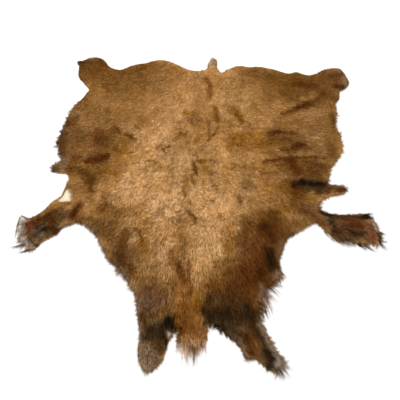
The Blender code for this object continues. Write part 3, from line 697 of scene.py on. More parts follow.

# %% [markdown]
# Small marks come last, as strokes of the brush: folds, dimples and knots of dark hair. The dark strokes
# along folds, furrows, seams and dimples are painted shade in those creases, and the pale stroke on the fold
# of the left side is a painted highlight on its ridge. They are what makes this hide this one and no other,
# so each has its own row.
#
# Columns: both ends, x and y, and half the stroke's thickness, all in centimetres; the tone; and
# how much of it is laid on.

# %% The strokes
Stroke = namedtuple("Stroke", "place x0 y0 x1 y1 thick tone share")
STROKES = [Stroke(*row) for row in (
    # Painted shade: the dark strokes on furrows, folds, seams and dimples darken the creases
    ("furrow of the loin", 10.5, 71, 12, 60.5, 1.6, "bronze", 0.9),
    ("furrow of the loin, foot", 12, 60.5, 16, 59.5, 0.8, "honey", 0.7),
    ("fork beside the spine", 6, 45.5, 9.5, 50.5, 0.9, "bronze", 0.85),
    ("fork, upper arm", 9.5, 50.5, 13, 57, 1.0, "bronze", 0.8),
    ("fork, outer arm", 11, 52, 18, 53.5, 0.8, "honey", 0.7),
    ("line left of the fork", 6, 62, 6.5, 48, 0.9, "hazel", 0.6),
    ("blot left of the spine", -13.5, 49.5, -9.5, 50.5, 1.6, "bronze", 0.45),
    ("blot further left", -18, 46.5, -15.5, 47.5, 1.4, "honey", 0.7),
    ("blot above it", -14.5, 59.5, -11.5, 59.5, 1.0, "hazel", 0.7),
    ("spots on the spine", -6.5, 62.5, -5, 58.5, 1.0, "umber", 0.6),
    ("blot of the loin", -9.5, 67, -5.5, 67, 2.3, "honey", 0.7),
    ("fold of the left back", -25, 39, -20.5, 41.5, 1.0, "bronze", 0.9),
    ("fold of the left back, arm", -27, 43, -24.5, 39.5, 0.7, "hazel", 0.6),
    ("fold of the left loin", -50, 51, -43, 46, 1.2, "umber", 0.75),
    ("fold of the left loin, root", -47.5, 50, -45, 48.5, 1.8, "umber", 0.4),
    ("spot of the left side", -55.5, 55.5, -54.5, 52.5, 1.4, "umber", 0.7),
    ("mark of the left loin", -44, 57, -40.5, 55, 0.8, "umber", 0.55),
    ("spots of the left hip", -64, 69.5, -61, 66.5, 1.4, "umber", 0.6),
    ("dimple of the back, bar", -3, 31, 7, 31.5, 1.0, "bronze", 0.75),
    ("dimple of the back, middle", 0, 30.3, 3, 30, 1.1, "umber", 0.7),
    ("dimple of the back, stem", -3.8, 29.5, -2.7, 21.5, 1.4, "bronze", 0.95),
    ("dimple of the back, shade", -3.3, 25.5, -2.6, 23, 1.1, "umber", 0.8),
    ("right of the dimple", 2, 29, 6, 22, 2.2, "honey", 0.6),
    ("mark of the left ribs", -20.5, 26.5, -17.5, 32.5, 0.9, "hazel", 0.55),
    ("mark further left", -34.5, 31.5, -28.5, 30, 1.0, "honey", 0.5),
    ("seam left of the hump", -10, 21, -10.5, 12, 0.9, "honey", 0.75),
    ("seam left of the hump, foot", -10.5, 12, -9.5, 4.5, 1.0, "honey", 0.7),
    ("seam of the hump", -5.5, 20.5, -4, 15, 0.9, "bronze", 0.7),
    ("mark of the hump", -8.2, 17.5, -7, 13, 0.8, "honey", 0.6),
    ("mark under it", -6.8, 4, -6, 1, 0.9, "honey", 0.6),
    ("curl of the right ribs", 7, 18.5, 8.3, 13.5, 0.7, "hazel", 0.5),
    ("long curl of the right ribs", 12.5, 18, 10.3, 9.5, 0.7, "hazel", 0.6),
    ("outer curl of the right ribs", 17, 16.5, 18, 13, 0.7, "hazel", 0.5),
    ("smoky spot of the ribs", 8.5, 23, 9, 21, 1.6, "smoke", 0.5),
    ("curl right of the hump", 2, 13.5, 3.5, 11.5, 0.8, "honey", 0.5),
    ("dimple of the hump", -7.5, -4.5, -2.5, -9.8, 1.6, "umber", 0.75),
    ("dimple of the hump, foot", -3, -11, -2, -14.5, 1.0, "honey", 0.6),
    ("spot right of the hump", 25, 5, 26, 2.5, 1.2, "umber", 0.6),
    ("fold of the left shoulder", -42, -16, -38, -19.5, 1.4, "bronze", 0.8),
    ("fold of the left shoulder, foot", -38, -19.5, -36.3, -24.5, 1.6, "bronze", 0.85),
    ("blot of the left shoulder", -48, -17, -44, -20, 2.0, "umber", 0.6),
    ("mark left of the hump", -24.5, -6, -23, -10, 0.9, "honey", 0.5),
    ("blot left of the parting", -38, -26, -33, -31, 2.6, "honey", 0.7),
    ("root of the parting", -12, -8, -12, -30, 3.0, "tan", 0.7),
    ("mark right of the parting", 18.5, -22, 17, -27, 1.8, "hazel", 0.6),
    ("olive spot", 23.5, 70, 28, 62, 2.4, "honey", 0.95),
    ("olive spot, dark", 24, 65.5, 29, 60.5, 1.8, "bronze", 0.7),
    ("olive spot, arm", 28, 60, 35, 58, 0.9, "honey", 0.7),
    ("thin line of the right loin", 20, 56.5, 48, 54.5, 0.8, "hazel", 0.45),
    ("olive band", 22, 49, 41, 51, 2.8, "honey", 0.85),
    ("olive band, lower", 18, 43, 27, 44, 2.2, "honey", 0.85),
    ("olive band, foot", 28, 44, 47, 41, 2.5, "honey", 0.5),
    ("dark knot of the right side", 46.5, 50.5, 53, 52.5, 2.5, "chestnut", 0.95),
    ("dark knot, foot", 46.5, 50, 47, 45, 1.8, "hazel", 0.8),
    ("dark knot, arm", 53, 52, 65, 51.3, 1.3, "umber", 0.75),
    ("mark below the knot", 57, 47.5, 61.5, 45.5, 1.3, "umber", 0.7),
    ("lower knot", 62.5, 41.5, 69, 43, 2.2, "chestnut", 0.95),
    ("lower knot, arm", 55, 39, 63, 38.5, 1.4, "umber", 0.8),
    ("spot beside the lower knot", 56, 43.5, 58.5, 42.5, 1.0, "umber", 0.6),
    ("mark of the right flank", 72, 40.5, 78, 41, 1.0, "umber", 0.45),
    ("band, inner end", 43, 31, 56, 32.5, 1.3, "chestnut", 0.85),
    ("band", 56, 33, 84, 33.5, 1.2, "chestnut", 0.75),
    ("knot under the band", 60, 30, 62.5, 26, 2.8, "chestnut", 0.9),
    ("mark under the band", 70, 30, 82, 29, 1.6, "chestnut", 0.5),
    ("blot above the elbow", 63, 21, 66, 24, 2.2, "chestnut", 0.6),
    ("dark of the right elbow", 62, 13.5, 67, 16, 2.2, "soot", 0.8),
    ("dark of the right elbow, outer", 67, 16, 82, 14.5, 2.5, "soot", 0.85),
    ("mark under the elbow", 59, 8, 63, 7, 1.7, "umber", 0.7),
    ("thigh line, inner end", 56, 65.5, 67, 70.5, 1.7, "umber", 0.8),
    ("thigh line", 67, 71, 76, 74, 2.5, "chestnut", 0.9),
    ("thigh line, outer end", 76, 74.5, 86, 81, 2.0, "umber", 0.8),
    ("spot above the thigh line", 61, 78.5, 63.5, 76.5, 1.5, "umber", 0.6),
    ("dark of the right rump", 67, 90, 79, 87, 3.4, "chestnut", 0.6),
    ("dark of the right hind leg", 85, 94, 97, 97, 2.6, "umber", 0.6),
    ("rim of the right hind leg", 94, 88, 99, 87, 1.8, "bark", 0.7),
    ("mark of the right ribs", 40, 22.5, 50, 21.5, 1.7, "hazel", 0.7),
    ("line of the right ribs", 26, 26.5, 42, 25.5, 1.1, "honey", 0.7),
    ("line near the dimple", 16, 27, 23, 25.5, 1.1, "honey", 0.6),
    ("light above the right armpit", 54, -6, 62, -8, 2.0, "caramel", 0.6),
    ("left side, lower knot", -75, 30, -62, 34.5, 2.8, "chestnut", 0.95),
    # Painted highlight on the ridge of the left side's fold, and painted shade under it
    ("fold of the left side", -84, 29, -63, 27.3, 0.8, "tan", 0.6),
    ("under the left fold", -79, 24, -70, 18, 3.4, "umber", 0.85),
    ("foot under the left fold", -73, 17, -71, 9, 1.8, "umber", 0.7),
    ("left side, middle", -60, 45, -56, 38, 3.2, "hazel", 0.6),
    ("left side, honey edge", -50, 43, -48, 37, 1.8, "honey", 0.8),
    ("left side, honey foot", -63, 24, -55, 21, 2.8, "honey", 0.7),
    ("smoky rim of the left flank", -91, 64, -90, 58, 1.8, "bark", 0.6),
    ("dark rim of the left hind leg", -82, 107, -70, 109, 2.2, "bark", 0.5),
    ("dark rim, inner", -70, 108, -64, 103, 1.6, "bark", 0.5),
    ("left neck, stroke", -48, -20, -49, -32, 2.6, "umber", 0.6),
    ("left neck, lower stroke", -46, -40, -42, -46, 2.4, "umber", 0.6),
    ("parting, brown", -18, -32, -16, -40, 3.4, "ginger", 0.7),
    ("parting, knot", -12.5, -40, -10, -52, 2.4, "chestnut", 0.45),
    ("edge of the parting", -7.2, -37, -5.5, -60, 0.9, "chestnut", 0.55),
    ("comb of the parting", -10, -60, -5, -57, 1.2, "chestnut", 0.5),
    ("left throat knot", -19, -75, -16.5, -80, 2.8, "soot", 0.9),
    ("left foreleg, red streak", -112, -14, -93, -4.5, 1.8, "chestnut", 0.70),
    ("left foreleg, black spot", -104, -15, -98, -16.5, 1.6, "soot", 0.80),
    ("left foreleg, knee", -96, -9, -91, -18, 2.2, "chestnut", 0.70),
    ("left foreleg, smoky streak", -108, -19.5, -98, -13, 0.9, "ash", 0.45),
    ("left foreleg, lower spot", -110, -24, -103, -27.5, 1.6, "bark", 0.80),
    ("left foreleg, pale curl", -108, -26.5, -104, -29, 0.6, "silver", 0.70),
    ("left foreleg, pale line", -99, -18.5, -104, -24, 0.6, "ash", 0.60),
    ("left foreleg, stripe at the root", -78, 0, -82, -7, 2.6, "chestnut", 1.00),
    ("smoky rim of the left armpit", -90, -14.5, -74, -14.5, 1.3, "ash", 0.60),
    ("smoky rim of the left chest", -74, -15.5, -65.5, -24, 1.6, "ash", 0.70),
    ("smoky rim of the left chest, foot", -65.5, -24, -58, -39, 1.6, "ash", 0.75),
    ("right foreleg, dark collar", 78, -4, 84, -7, 1.6, "soot", 0.85),
    ("right foreleg, grey collar", 83, -7, 85, -16, 2.0, "soot", 0.60),
    ("right foreleg, red streak", 94, -9, 103, -15, 2.0, "chestnut", 0.75),
    ("right foreleg, dark root", 86, -17, 91, -22.5, 2.4, "bark", 0.80),
    ("right foreleg, dark middle", 96, -19.5, 105, -20.5, 2.0, "soot", 0.55),
    ("right foreleg, upper line", 84, -7, 104, -7.5, 0.9, "bark", 0.45),
    ("right foreleg, upper corner", 104, -8.5, 109, -7, 1.5, "soot", 0.90),
    ("right foreleg, end line", 109, -8, 116, -24, 0.9, "soot", 0.85),
    ("right foreleg, pale hairs", 110, -10, 113, -17, 0.8, "silver", 0.80),
    ("right foreleg, pale foot", 107, -27, 113, -25.5, 1.0, "ash", 0.50),
    ("forelock, dark middle", -9, -66, -10, -82, 1.8, "chestnut", 0.45),
    ("left cheek, stripe", -36, -71, -31, -82, 1.4, "bark", 0.60),
    ("right cheek, smoky edge", 37, -76, 46, -93, 3.0, "ash", 0.75),
    ("right cheek, smoky tip", 46, -93, 52, -104, 2.4, "ash", 0.60),
    ("right cheek, middle stripe", 27, -83, 31, -95, 1.6, "bark", 0.55),
    ("left throat, pale tuft", -19, -82.5, -17, -84.5, 1.1, "silver", 0.80),
    ("left throat, lower tuft", -22, -83, -19.5, -89, 1.2, "soot", 0.80),
    ("left cheek, pale rim", -37.5, -77, -37, -89, 1.2, "ash", 0.60),
    ("forelock, left side", -13.5, -70, -12.8, -85, 1.6, "ginger", 0.90),
    ("right foreleg, grey root", 84, -9, 88, -15, 2.2, "smoke", 0.50),
    ("right foreleg, smoky foot", 86, -21, 104, -24, 1.8, "smoke", 0.55),
    ("right elbow, tip", 91, 11, 95, 11, 1.8, "chestnut", 0.85),
    ("right cheek, inner foot", 18, -82, 27, -92, 2.6, "smoke", 0.70),
    ("right cheek, inner edge", 25, -92, 29, -98, 1.4, "ash", 0.60),
    ("left cheek, left rim", -38, -64, -39, -80, 0.9, "ash", 0.60),
    ("left chest, pale rim", -57, -39, -43, -57, 1.3, "ash", 0.70),
    ("right elbow, upper edge", 85, 14.6, 95, 13.8, 1.3, "ash", 0.60),
    ("right foreleg, smoky join", 66, -2, 78, -1, 2.6, "smoke", 0.60),
    ("right foreleg, brown join", 68, -5, 79, -13, 2.6, "umber", 0.60),
    ("right foreleg, end glow", 109, -17, 112, -26, 1.8, "russet", 0.60),
    ("olive edge of the breast", 19, -16, 18, -32, 2.6, "honey", 0.6),
    ("knot of the right shoulder", 40, -15, 47, -24, 3.2, "bark", 0.6),
    ("dark of the right chest", 44, -32, 46, -44, 3.4, "soot", 0.7),
    ("warm of the right neck", 33, -58, 35, -67, 3.0, "hazel", 0.55),
)]

# %% [markdown]
# ## Noise by hand
# Blender's noise functions answer one point at a time. For hundreds of thousands of points it is
# quicker to let numpy do it: random numbers on a coarse grid, blended smoothly between, are noise
# too.

# %% Smooth noise for many places at once
LATTICE = 512  # the coarse grid's rows and columns, after which the noise repeats
LATTICE_X = 137.3  # where on the coarse grid the origin falls
LATTICE_Y = 211.7


def wander(x, y, size, seed):
    """Smooth noise from -1 to 1 over places x, y, with lumps about as wide as size."""
    lattice = np.random.default_rng(seed).uniform(-1, 1, (LATTICE, LATTICE))
    u = x / size + LATTICE_X
    v = y / size + LATTICE_Y
    column = np.floor(u).astype(int)
    row = np.floor(v).astype(int)
    fx = u - column
    fy = v - row
    fx = fx * fx * (3 - 2 * fx)
    fy = fy * fy * (3 - 2 * fy)
    return blended(lattice, row % (LATTICE - 1), column % (LATTICE - 1), fy, fx)


# %% Working the tables out over the whole hide
GRID_X, GRID_Y = np.meshgrid(MAP_X, MAP_Y)
PLAN_X = (GRID_X + PLAN_MIDDLE.x) / CM
PLAN_Y = (GRID_Y + PLAN_MIDDLE.y) / CM
LIE_FADE = 4  # the higher, the sooner a row of the lie gives way to the next
LENGTH, STRAY, CURL, RIM, FRINGE = range(2, 7)  # layers of the map of the lie; 0 and 1 hold the heading


def blend_lies():
    """Heading as a unit vector, and length, stray, curl, rim and fringe, at each point of the map."""
    total = np.full(GRID_X.shape, 1e-9)
    sums = np.zeros(GRID_X.shape + (FRINGE + 1,))
    for lie in LIES:
        away = np.hypot(PLAN_X - lie.x, PLAN_Y - lie.y) / lie.reach
        weight = (1 + away**2) ** -LIE_FADE
        heading = math.radians(lie.heading)
        values = (math.cos(heading), math.sin(heading), lie.length, lie.stray, lie.curl, lie.rim, lie.fringe)
        total += weight
        sums += weight[:, :, None] * np.array(values)
    return sums / total[:, :, None]


def linear(tone):
    """A tone's red, green and blue from 0 to 255 as the light it sends back."""
    share = np.array(tone) / 255
    return np.where(share <= 0.04045, share / 12.92, ((share + 0.055) / 1.055) ** 2.4)


WARMTH = np.array((1.0, 1.25, 1.7))  # how much faster green and blue fade in shade than red


def in_shade(tone, level):
    """Tones at some level of light: the deeper light gets into fur, the warmer it comes back."""
    return tone * level[..., None] ** WARMTH


STREAK_STEP = 3 * MM
STREAK_STEPS = 7
STREAK_SIZE = 9 * MM
LEAST_HEADING = 0.05


def streaks():
    """Noise drawn out along the lie of the hair, from about -1 to 1."""
    size = np.maximum(np.hypot(lie_map[:, :, 0], lie_map[:, :, 1]), LEAST_HEADING)
    total = np.zeros(GRID_X.size)
    for sense in (-1, 1):
        x, y = GRID_X.ravel().copy(), GRID_Y.ravel().copy()
        for step in range(STREAK_STEPS):
            way = look_up(lie_map[:, :, :2] / size[:, :, None], x, y)
            x += sense * STREAK_STEP * way[:, 0]
            y += sense * STREAK_STEP * way[:, 1]
            total += wander(x, y, STREAK_SIZE, seed=8)
    return (total / total.std() / 2).clip(-1, 1).reshape(GRID_X.shape)


RAGGED = 3.0  # centimetres by which the noise pushes a patch's edge about
RAGGED_FINE = 1.0
RAGGED_STROKE = 0.7  # of the fine push, for strokes
FINER_SHARE = 0.6
PUSHED_IN_FULL = 5  # half the width, in centimetres, from which a patch is pushed by all of it
PATCH_EDGE = 1.8  # the higher, the sharper the edge
STROKE_EDGE = 2.6
WOOLLY_STRAY = 50  # clumps that stray this far, in degrees, are wool
GOLD = np.array((0.01, -0.02, -0.11))  # what more gold in a tone does to its red, green and blue
STREAK_DEPTH = 0.12
# Painted shade: how far the recesses between the curls of the wool are darkened
CURL_SHADOW_DEPTH = 0.36


def lumps(size, seed):
    """Noise over the whole map."""
    return wander(GRID_X, GRID_Y, size, seed)


def layered(size, finer, seed):
    """Noise over the whole map, with finer noise laid on it."""
    return lumps(size, seed) + FINER_SHARE * lumps(finer, seed + 1)


def lay_tone(washed, name, share):
    """Lays a share of a named tone over the tones that are there."""
    washed += share[:, :, None] * (np.array(TONES[name]) - washed)


def wash_tones():
    """The colour of the hair at each point of the map, with painted shade in the recesses of the wool."""
    push_x = RAGGED * layered(0.09, 0.035, 1)
    push_y = RAGGED * layered(0.09, 0.035, 3)
    fine_x = RAGGED_FINE * lumps(0.016, 9)
    fine_y = RAGGED_FINE * lumps(0.016, 10)
    washed = np.ones(GRID_X.shape + (3,)) * np.array(TONES["caramel"])
    for patch in PATCHES:
        turn = math.radians(patch.turn)
        ease = min(1.0, min(patch.across, patch.along) / PUSHED_IN_FULL)
        dx = PLAN_X + push_x * ease + fine_x - patch.x
        dy = PLAN_Y + push_y * ease + fine_y - patch.y
        along = (dx * math.cos(turn) + dy * math.sin(turn)) / patch.across
        across = (dy * math.cos(turn) - dx * math.sin(turn)) / patch.along
        lay_tone(washed, patch.tone, patch.share * np.exp(-((along**2 + across**2) ** PATCH_EDGE)))
    for stroke in STROKES:
        dx = PLAN_X + RAGGED_STROKE * fine_x - stroke.x0
        dy = PLAN_Y + RAGGED_STROKE * fine_y - stroke.y0
        run_x, run_y = stroke.x1 - stroke.x0, stroke.y1 - stroke.y0
        part = np.clip((dx * run_x + dy * run_y) / (run_x**2 + run_y**2), 0, 1)
        away = np.hypot(dx - part * run_x, dy - part * run_y) / stroke.thick
        lay_tone(washed, stroke.tone, stroke.share * np.exp(-(away**STROKE_EDGE)))
    woolly = np.clip(lie_map[:, :, STRAY] / WOOLLY_STRAY, 0.3, 1)
    # Painted shade: dark marks in the recesses between the curls, most where the wool is curliest
    curl_shadows = np.clip(2.4 * lumps(0.020, 5) - 1.0, 0, 1) * woolly
    clouds = 0.08 * lumps(0.080, 6) + 0.10 * lumps(0.032, 7)
    tint = 1 + layered(0.11, 0.045, 11)[:, :, None] * GOLD
    return in_shade(linear(washed) * tint, 1 + clouds + STREAK_DEPTH * streaks() - CURL_SHADOW_DEPTH * curl_shadows)


lie_map = blend_lies()
tone_map = wash_tones()
print("rows: lie", len(LIES), " colour", len(PATCHES), " strokes", len(STROKES))

# %% [markdown]
# ## The skin
# The leather under the fur is cream, 2 to 3 mm thick and softly rippled, and its cut edge shows as
# a thin line. It is made as a sheet is: one flat layer in the hide's outline, filled with even
# triangles, rippled, and then given its thickness. Where long hair makes the last centimetres of
# the outline, as on the forelock, the leather ends before it.

# %% The skin's flat layer
SKIN_THICKNESS = 2.2 * MM
SKIN_PITCH = 24 * MM
SKIN_RIM_PITCH = 6 * MM
RIPPLE = 1.6 * MM
RIPPLE_SIZE = 0.16
RIPPLE_ROOM = 0.04  # how far in from the edge the ripple reaches its full height
TRIANGLES_INSIDE = 1  # what the triangulation calls filling the loop and nothing outside it
TURNED_OUT = 1.4  # how soon hair that points out of the hide counts as hanging past the skin


def honeycomb(pitch, jitter, seed):
    """Places in an even honeycomb over the hide's box, each moved a little at random."""
    rows = np.arange(MAP_Y[0], MAP_Y[-1], pitch * math.sqrt(3) / 2)
    columns = np.arange(MAP_X[0], MAP_X[-1], pitch)
    x, y = np.meshgrid(columns, rows)
    x[1::2] += pitch / 2
    shift = np.random.default_rng(seed).uniform(-jitter, jitter, (2,) + x.shape) * pitch
    return (x + shift[0]).ravel(), (y + shift[1]).ravel()


def filled_layer(loop, pitch, jitter, margin, seed):
    """A flat bmesh of even triangles within a closed loop."""
    x, y = honeycomb(pitch, jitter, seed)
    keep = look_up(skin_depth, x, y) > margin
    places = [Vector(place) for place in np.concatenate([loop, np.stack([x[keep], y[keep]], axis=1)])]
    rim = [list(range(len(loop)))]
    flat = geometry.delaunay_2d_cdt(places, [], rim, TRIANGLES_INSIDE, MERGE)
    layer = bmesh.new()
    points = [layer.verts.new((place.x, place.y, 0)) for place in flat[0]]
    for triangle in flat[2]:
        layer.faces.new([points[i] for i in triangle])
    bmesh.ops.recalc_face_normals(layer, faces=layer.faces[:])
    if sum(face.normal.z for face in layer.faces) < 0:
        bmesh.ops.reverse_faces(layer, faces=layer.faces[:])
    return layer


def places_of(shape):
    """The x and y of all points of a bmesh, as arrays."""
    at = np.array([tuple(point.co.xy) for point in shape.verts])
    return at[:, 0], at[:, 1]


def finished(name, shape):
    """A bmesh as a smooth-shaded object in the scene."""
    piece = placed(name, bpy.data.meshes.new(name))
    shape.to_mesh(piece.data)
    shape.free()
    piece.data.shade_smooth()
    return piece


facing = (lie_map[:, :, :2] * outward).sum(axis=2) / np.hypot(lie_map[:, :, 0], lie_map[:, :, 1])
skin_depth = depth - lie_map[:, :, FRINGE] * MM * np.clip(facing * TURNED_OUT, 0, 1)


def skin_line(room):
    """The closed line that lies this far within the skin's edge."""
    within = skin_depth > room
    corners = within[:-1, :-1].astype(int) + within[:-1, 1:] + within[1:, :-1] + within[1:, 1:]
    relief = bmesh.new()
    points = {}
    for row, column in np.argwhere((corners > 0) & (corners < 4)).tolist():
        ring = ((row, column), (row, column + 1), (row + 1, column + 1), (row + 1, column))
        for place in ring:
            if place not in points:
                points[place] = relief.verts.new((GRID_X[place], GRID_Y[place], skin_depth[place]))
        a, b, c, d = (points[place] for place in ring)
        relief.faces.new((a, b, c))
        relief.faces.new((a, c, d))
    return level_line(relief, room)


skin_edge = skin_line(0)
rim = even_loop(skin_edge, SKIN_RIM_PITCH)
sheet = filled_layer(rim, SKIN_PITCH, jitter=0.2, margin=10 * MM, seed=11)
FLAT_AREA = sum(face.calc_area() for face in sheet.faces)
x, y = places_of(sheet)
ripple = RIPPLE * (1 + wander(x, y, RIPPLE_SIZE, seed=12))
ripple *= np.clip(look_up(skin_depth, x, y) / RIPPLE_ROOM, 0, 1)
for point, lift in zip(sheet.verts, ripple):
    point.co.z = lift + SKIN_THICKNESS
bmesh.ops.solidify(sheet, geom=sheet.faces[:], thickness=SKIN_THICKNESS)
bmesh.ops.recalc_face_normals(sheet, faces=sheet.faces[:])
skin = finished("skin", sheet)

# %% [markdown]
# ## The under-fur
# Next to the skin a bison carries dense wool, and nothing of the skin shows through it. It is made
# as one closed, lumpy surface a little lower than the solid. The bare patch in the armpit, where
# the wool has worn away, is left open, so that the leather shows there.

# %% The under-fur's surface
UNDER_PITCH = 11 * MM
UNDER_INSET = 5 * MM  # the skin's edge shows by this much
UNDER_RIM_PITCH = 8 * MM
UNDER_BOTTOM = 2.6 * MM
UNDER_LEAST = 1.2 * MM  # thinnest wool
UNDER_SHARE = 0.70  # of the solid's height
TUFT = 0.10  # of that height, up or down from tuft to tuft
BARE = (-88.2, 7.2, 5.3, 5.3)  # the bare patch: x, y and half its width and height, in centimetres
BARE_HOLE = 1.05  # the hole in the wool, of the bare patch


def from_bare(x, y):
    """How far places lie from the middle of the bare patch, where 1 is its edge."""
    dx = ((x + PLAN_MIDDLE.x) / CM - BARE[0]) / BARE[2]
    dy = ((y + PLAN_MIDDLE.y) / CM - BARE[1]) / BARE[3]
    return np.hypot(dx, dy)


def bare_share(x, y):
    """1 at the middle of the bare patch and nought from its ragged edge outwards."""
    ragged = 1 + 0.30 * wander(x, y, 0.022, 21) + 0.26 * wander(x, y, 0.009, 22)
    return np.clip(1 - from_bare(x, y) / ragged, 0, 1)


def under_height(x, y):
    """Height of the under-fur's surface."""
    tuft = 0.6 * wander(x, y, 0.030, 23) + 0.4 * wander(x, y, 0.014, 24)
    height = look_up(heights, x, y) * (UNDER_SHARE + TUFT * tuft)
    return np.maximum(height, UNDER_BOTTOM + UNDER_LEAST)


inner = even_loop(skin_line(UNDER_INSET), UNDER_RIM_PITCH)
wool = filled_layer(inner, UNDER_PITCH, jitter=0.25, margin=UNDER_INSET + 5 * MM, seed=25)
middle = np.array([tuple(face.calc_center_median().xy) for face in wool.faces])
worn = from_bare(middle[:, 0], middle[:, 1]) < BARE_HOLE
bmesh.ops.delete(wool, geom=[face for face, gone in zip(wool.faces[:], worn) if gone], context="FACES")
pinched = [True]
while pinched:
    pinched = [point for point in wool.verts if sum(side.is_boundary for side in point.link_edges) > 2]
    bmesh.ops.delete(wool, geom=pinched, context="VERTS")
x, y = places_of(wool)
for point, height in zip(wool.verts, under_height(x, y)):
    point.co.z = height
border = [side for side in wool.edges if side.is_boundary]
walls = bmesh.ops.extrude_edge_only(wool, edges=border)["geom"]
for point in walls:
    if isinstance(point, bmesh.types.BMVert):
        point.co.z = UNDER_BOTTOM
foot = [side for side in walls if isinstance(side, bmesh.types.BMEdge)]
bmesh.ops.triangle_fill(wool, edges=foot, use_beauty=True)
bmesh.ops.recalc_face_normals(wool, faces=wool.faces[:])
open_sides = sum(not side.is_manifold for side in wool.edges)
under_fur = finished("under_fur", wool)
print("under-fur:", len(under_fur.data.polygons), "faces, open sides", open_sides)

# %% [markdown]
# ## Locks of hair
# One lock is a thin spike with three sides. Its root is closed by a triangle, its sides run on
# through one or two more rings, and they meet at the tip. Thousands of locks are one mesh made from
# arrays, which numpy can work out in a moment. A loop over all of them would take minutes.
#
# Each point keeps how far along its lock it lies and a random number for its lock, and the finish
# uses both: roots are darker, tips are bleached, and no two locks are quite alike.

# %% Growing locks from their centre lines
FLATNESS = 0.8  # how high the ridge stands over a lock's middle, of half its width
SIDES_LOW = 0.12  # where a lock's sides start in its cell of the picture map, with the root cap below
CELL_MARGIN = 0.06


def ring_points(line, width):
    """Three points round each station of each lock: left, right and ridge."""
    tangent = np.gradient(line, axis=1)
    tangent /= np.linalg.norm(tangent, axis=2, keepdims=True) + 1e-12
    side = np.cross(tangent, (0.0, 0.0, 1.0))
    side /= np.linalg.norm(side, axis=2, keepdims=True) + 1e-12
    rise = np.cross(side, tangent)
    half = width[:, :, None] / 2
    left = line - side * half - rise * half * FLATNESS * 0.5
    right = line + side * half - rise * half * FLATNESS * 0.5
    ridge = line + rise * half * FLATNESS
    return np.stack([left, right, ridge], axis=2)


def lock_faces(stations):
    """The faces of one lock with that many rings and a tip, as quads, tip triangles and root cap."""
    quads = []
    for ring in range(stations - 1):
        low, high = 3 * ring, 3 * ring + 3
        for a, b in ((0, 1), (1, 2), (2, 0)):
            quads.append((low + a, low + b, high + b, high + a))
    last = 3 * stations
    tips = [(last - 3 + a, last - 3 + b, last) for a, b in ((0, 1), (1, 2), (2, 0))]
    return quads, tips + [(2, 1, 0)]


def lock_marks(stations):
    """The place of each face corner in its lock's own cell of the picture map."""
    levels = SIDES_LOW + (1 - SIDES_LOW) * np.arange(stations + 1) / stations
    marks = []
    for bottom, top in zip(levels[:-2], levels[1:]):
        for left in range(3):
            right = left + 1
            marks += [(left / 3, bottom), (right / 3, bottom), (right / 3, top), (left / 3, top)]
    for left in range(3):
        marks += [(left / 3, levels[-2]), ((left + 1) / 3, levels[-2]), ((left + 0.5) / 3, levels[-1])]
    root_cap = [(0.1, 0.0), (0.9, 0.0), (0.5, 0.07)]
    return np.array(marks + root_cap)


def mark_points(mesh, name, kind, field, values):
    """Gives each point of a mesh a value of its own, kept under a name for the finish."""
    mesh.attributes.new(name, kind, "POINT")
    mesh.attributes[name].data.foreach_set(field, np.asarray(values, np.float32).ravel())


def mark_corners(mesh, marks):
    """Gives each face corner of a mesh its place in the picture map."""
    mesh.uv_layers.new(name="OFBake", do_init=False)
    mesh.uv_layers["OFBake"].uv.foreach_set("vector", np.asarray(marks, np.float32).ravel())


def grow(name, line, width, tone, stray):
    """One mesh of many locks. line is locks x (rings and the tip) x 3, width is locks x rings."""
    count, stations = width.shape
    rings = ring_points(line[:, :-1], width).reshape(count, 3 * stations, 3)
    points = np.concatenate([rings, line[:, -1:]], axis=1)
    per_lock = 3 * stations + 1
    quads, rest = lock_faces(stations)
    corners = np.array([i for face in quads + rest for i in face])
    sizes = np.array([len(face) for face in quads + rest])
    index = (np.arange(count)[:, None] * per_lock + corners).ravel()
    totals = np.tile(sizes, count)

    mesh = bpy.data.meshes.new(name)
    mesh.vertices.add(count * per_lock)
    mesh.vertices.foreach_set("co", points.astype(np.float32).ravel())
    mesh.loops.add(len(index))
    mesh.loops.foreach_set("vertex_index", index.astype(np.int32))
    mesh.polygons.add(len(totals))
    starts = np.concatenate([[0], np.cumsum(totals)[:-1]])
    mesh.polygons.foreach_set("loop_start", starts.astype(np.int32))
    mesh.update(calc_edges=True)

    along = np.repeat(np.arange(stations + 1) / stations, [3] * stations + [1])
    colours = np.ones((count, per_lock, 4))
    colours[:, :, :3] = tone[:, None, :]
    mark_points(mesh, "tone", "FLOAT_COLOR", "color", colours)
    mark_points(mesh, "along", "FLOAT", "value", np.tile(along, count))
    mark_points(mesh, "stray", "FLOAT", "value", np.repeat(stray, per_lock))

    cells = math.ceil(math.sqrt(count))
    number = np.arange(count)
    origin = np.stack([number % cells, number // cells], axis=1) + CELL_MARGIN
    mark_corners(mesh, (origin[:, None, :] + (1 - 2 * CELL_MARGIN) * lock_marks(stations)) / cells)

    mesh.shade_smooth()
    print(f"{name}: {count} locks, {int(np.sum(totals - 2))} triangles")
    return placed(name, mesh)


# %% [markdown]
# ## The coat
# Hair grows in clumps: neighbours lean the same way, and their tips draw together. So clumps are
# set out first, each with its own small turn away from the lie of the hair, and then a handful of
# locks is planted round each. A lock leaves the under-fur, rises almost to the solid's surface and
# bends over. In the woolly parts it curls round so far that it points back at itself.

# %% Planting the clumps
CLUMP_PITCH = 16.5 * MM
LOCKS_A_CLUMP = 4.4
CLUMP_SPREAD = 0.78  # of the pitch
TIPS_TOGETHER = 0.55  # of its place in the clump that a lock keeps at its tip
EDGE_ROOM = 4 * MM
COAT_WIDTH = 3.6 * MM


def can_root(x, y):
    """Which places are far enough in from the skin's edge and off the bare patch."""
    return (look_up(skin_depth, x, y) > EDGE_ROOM) & (bare_share(x, y) <= 0)


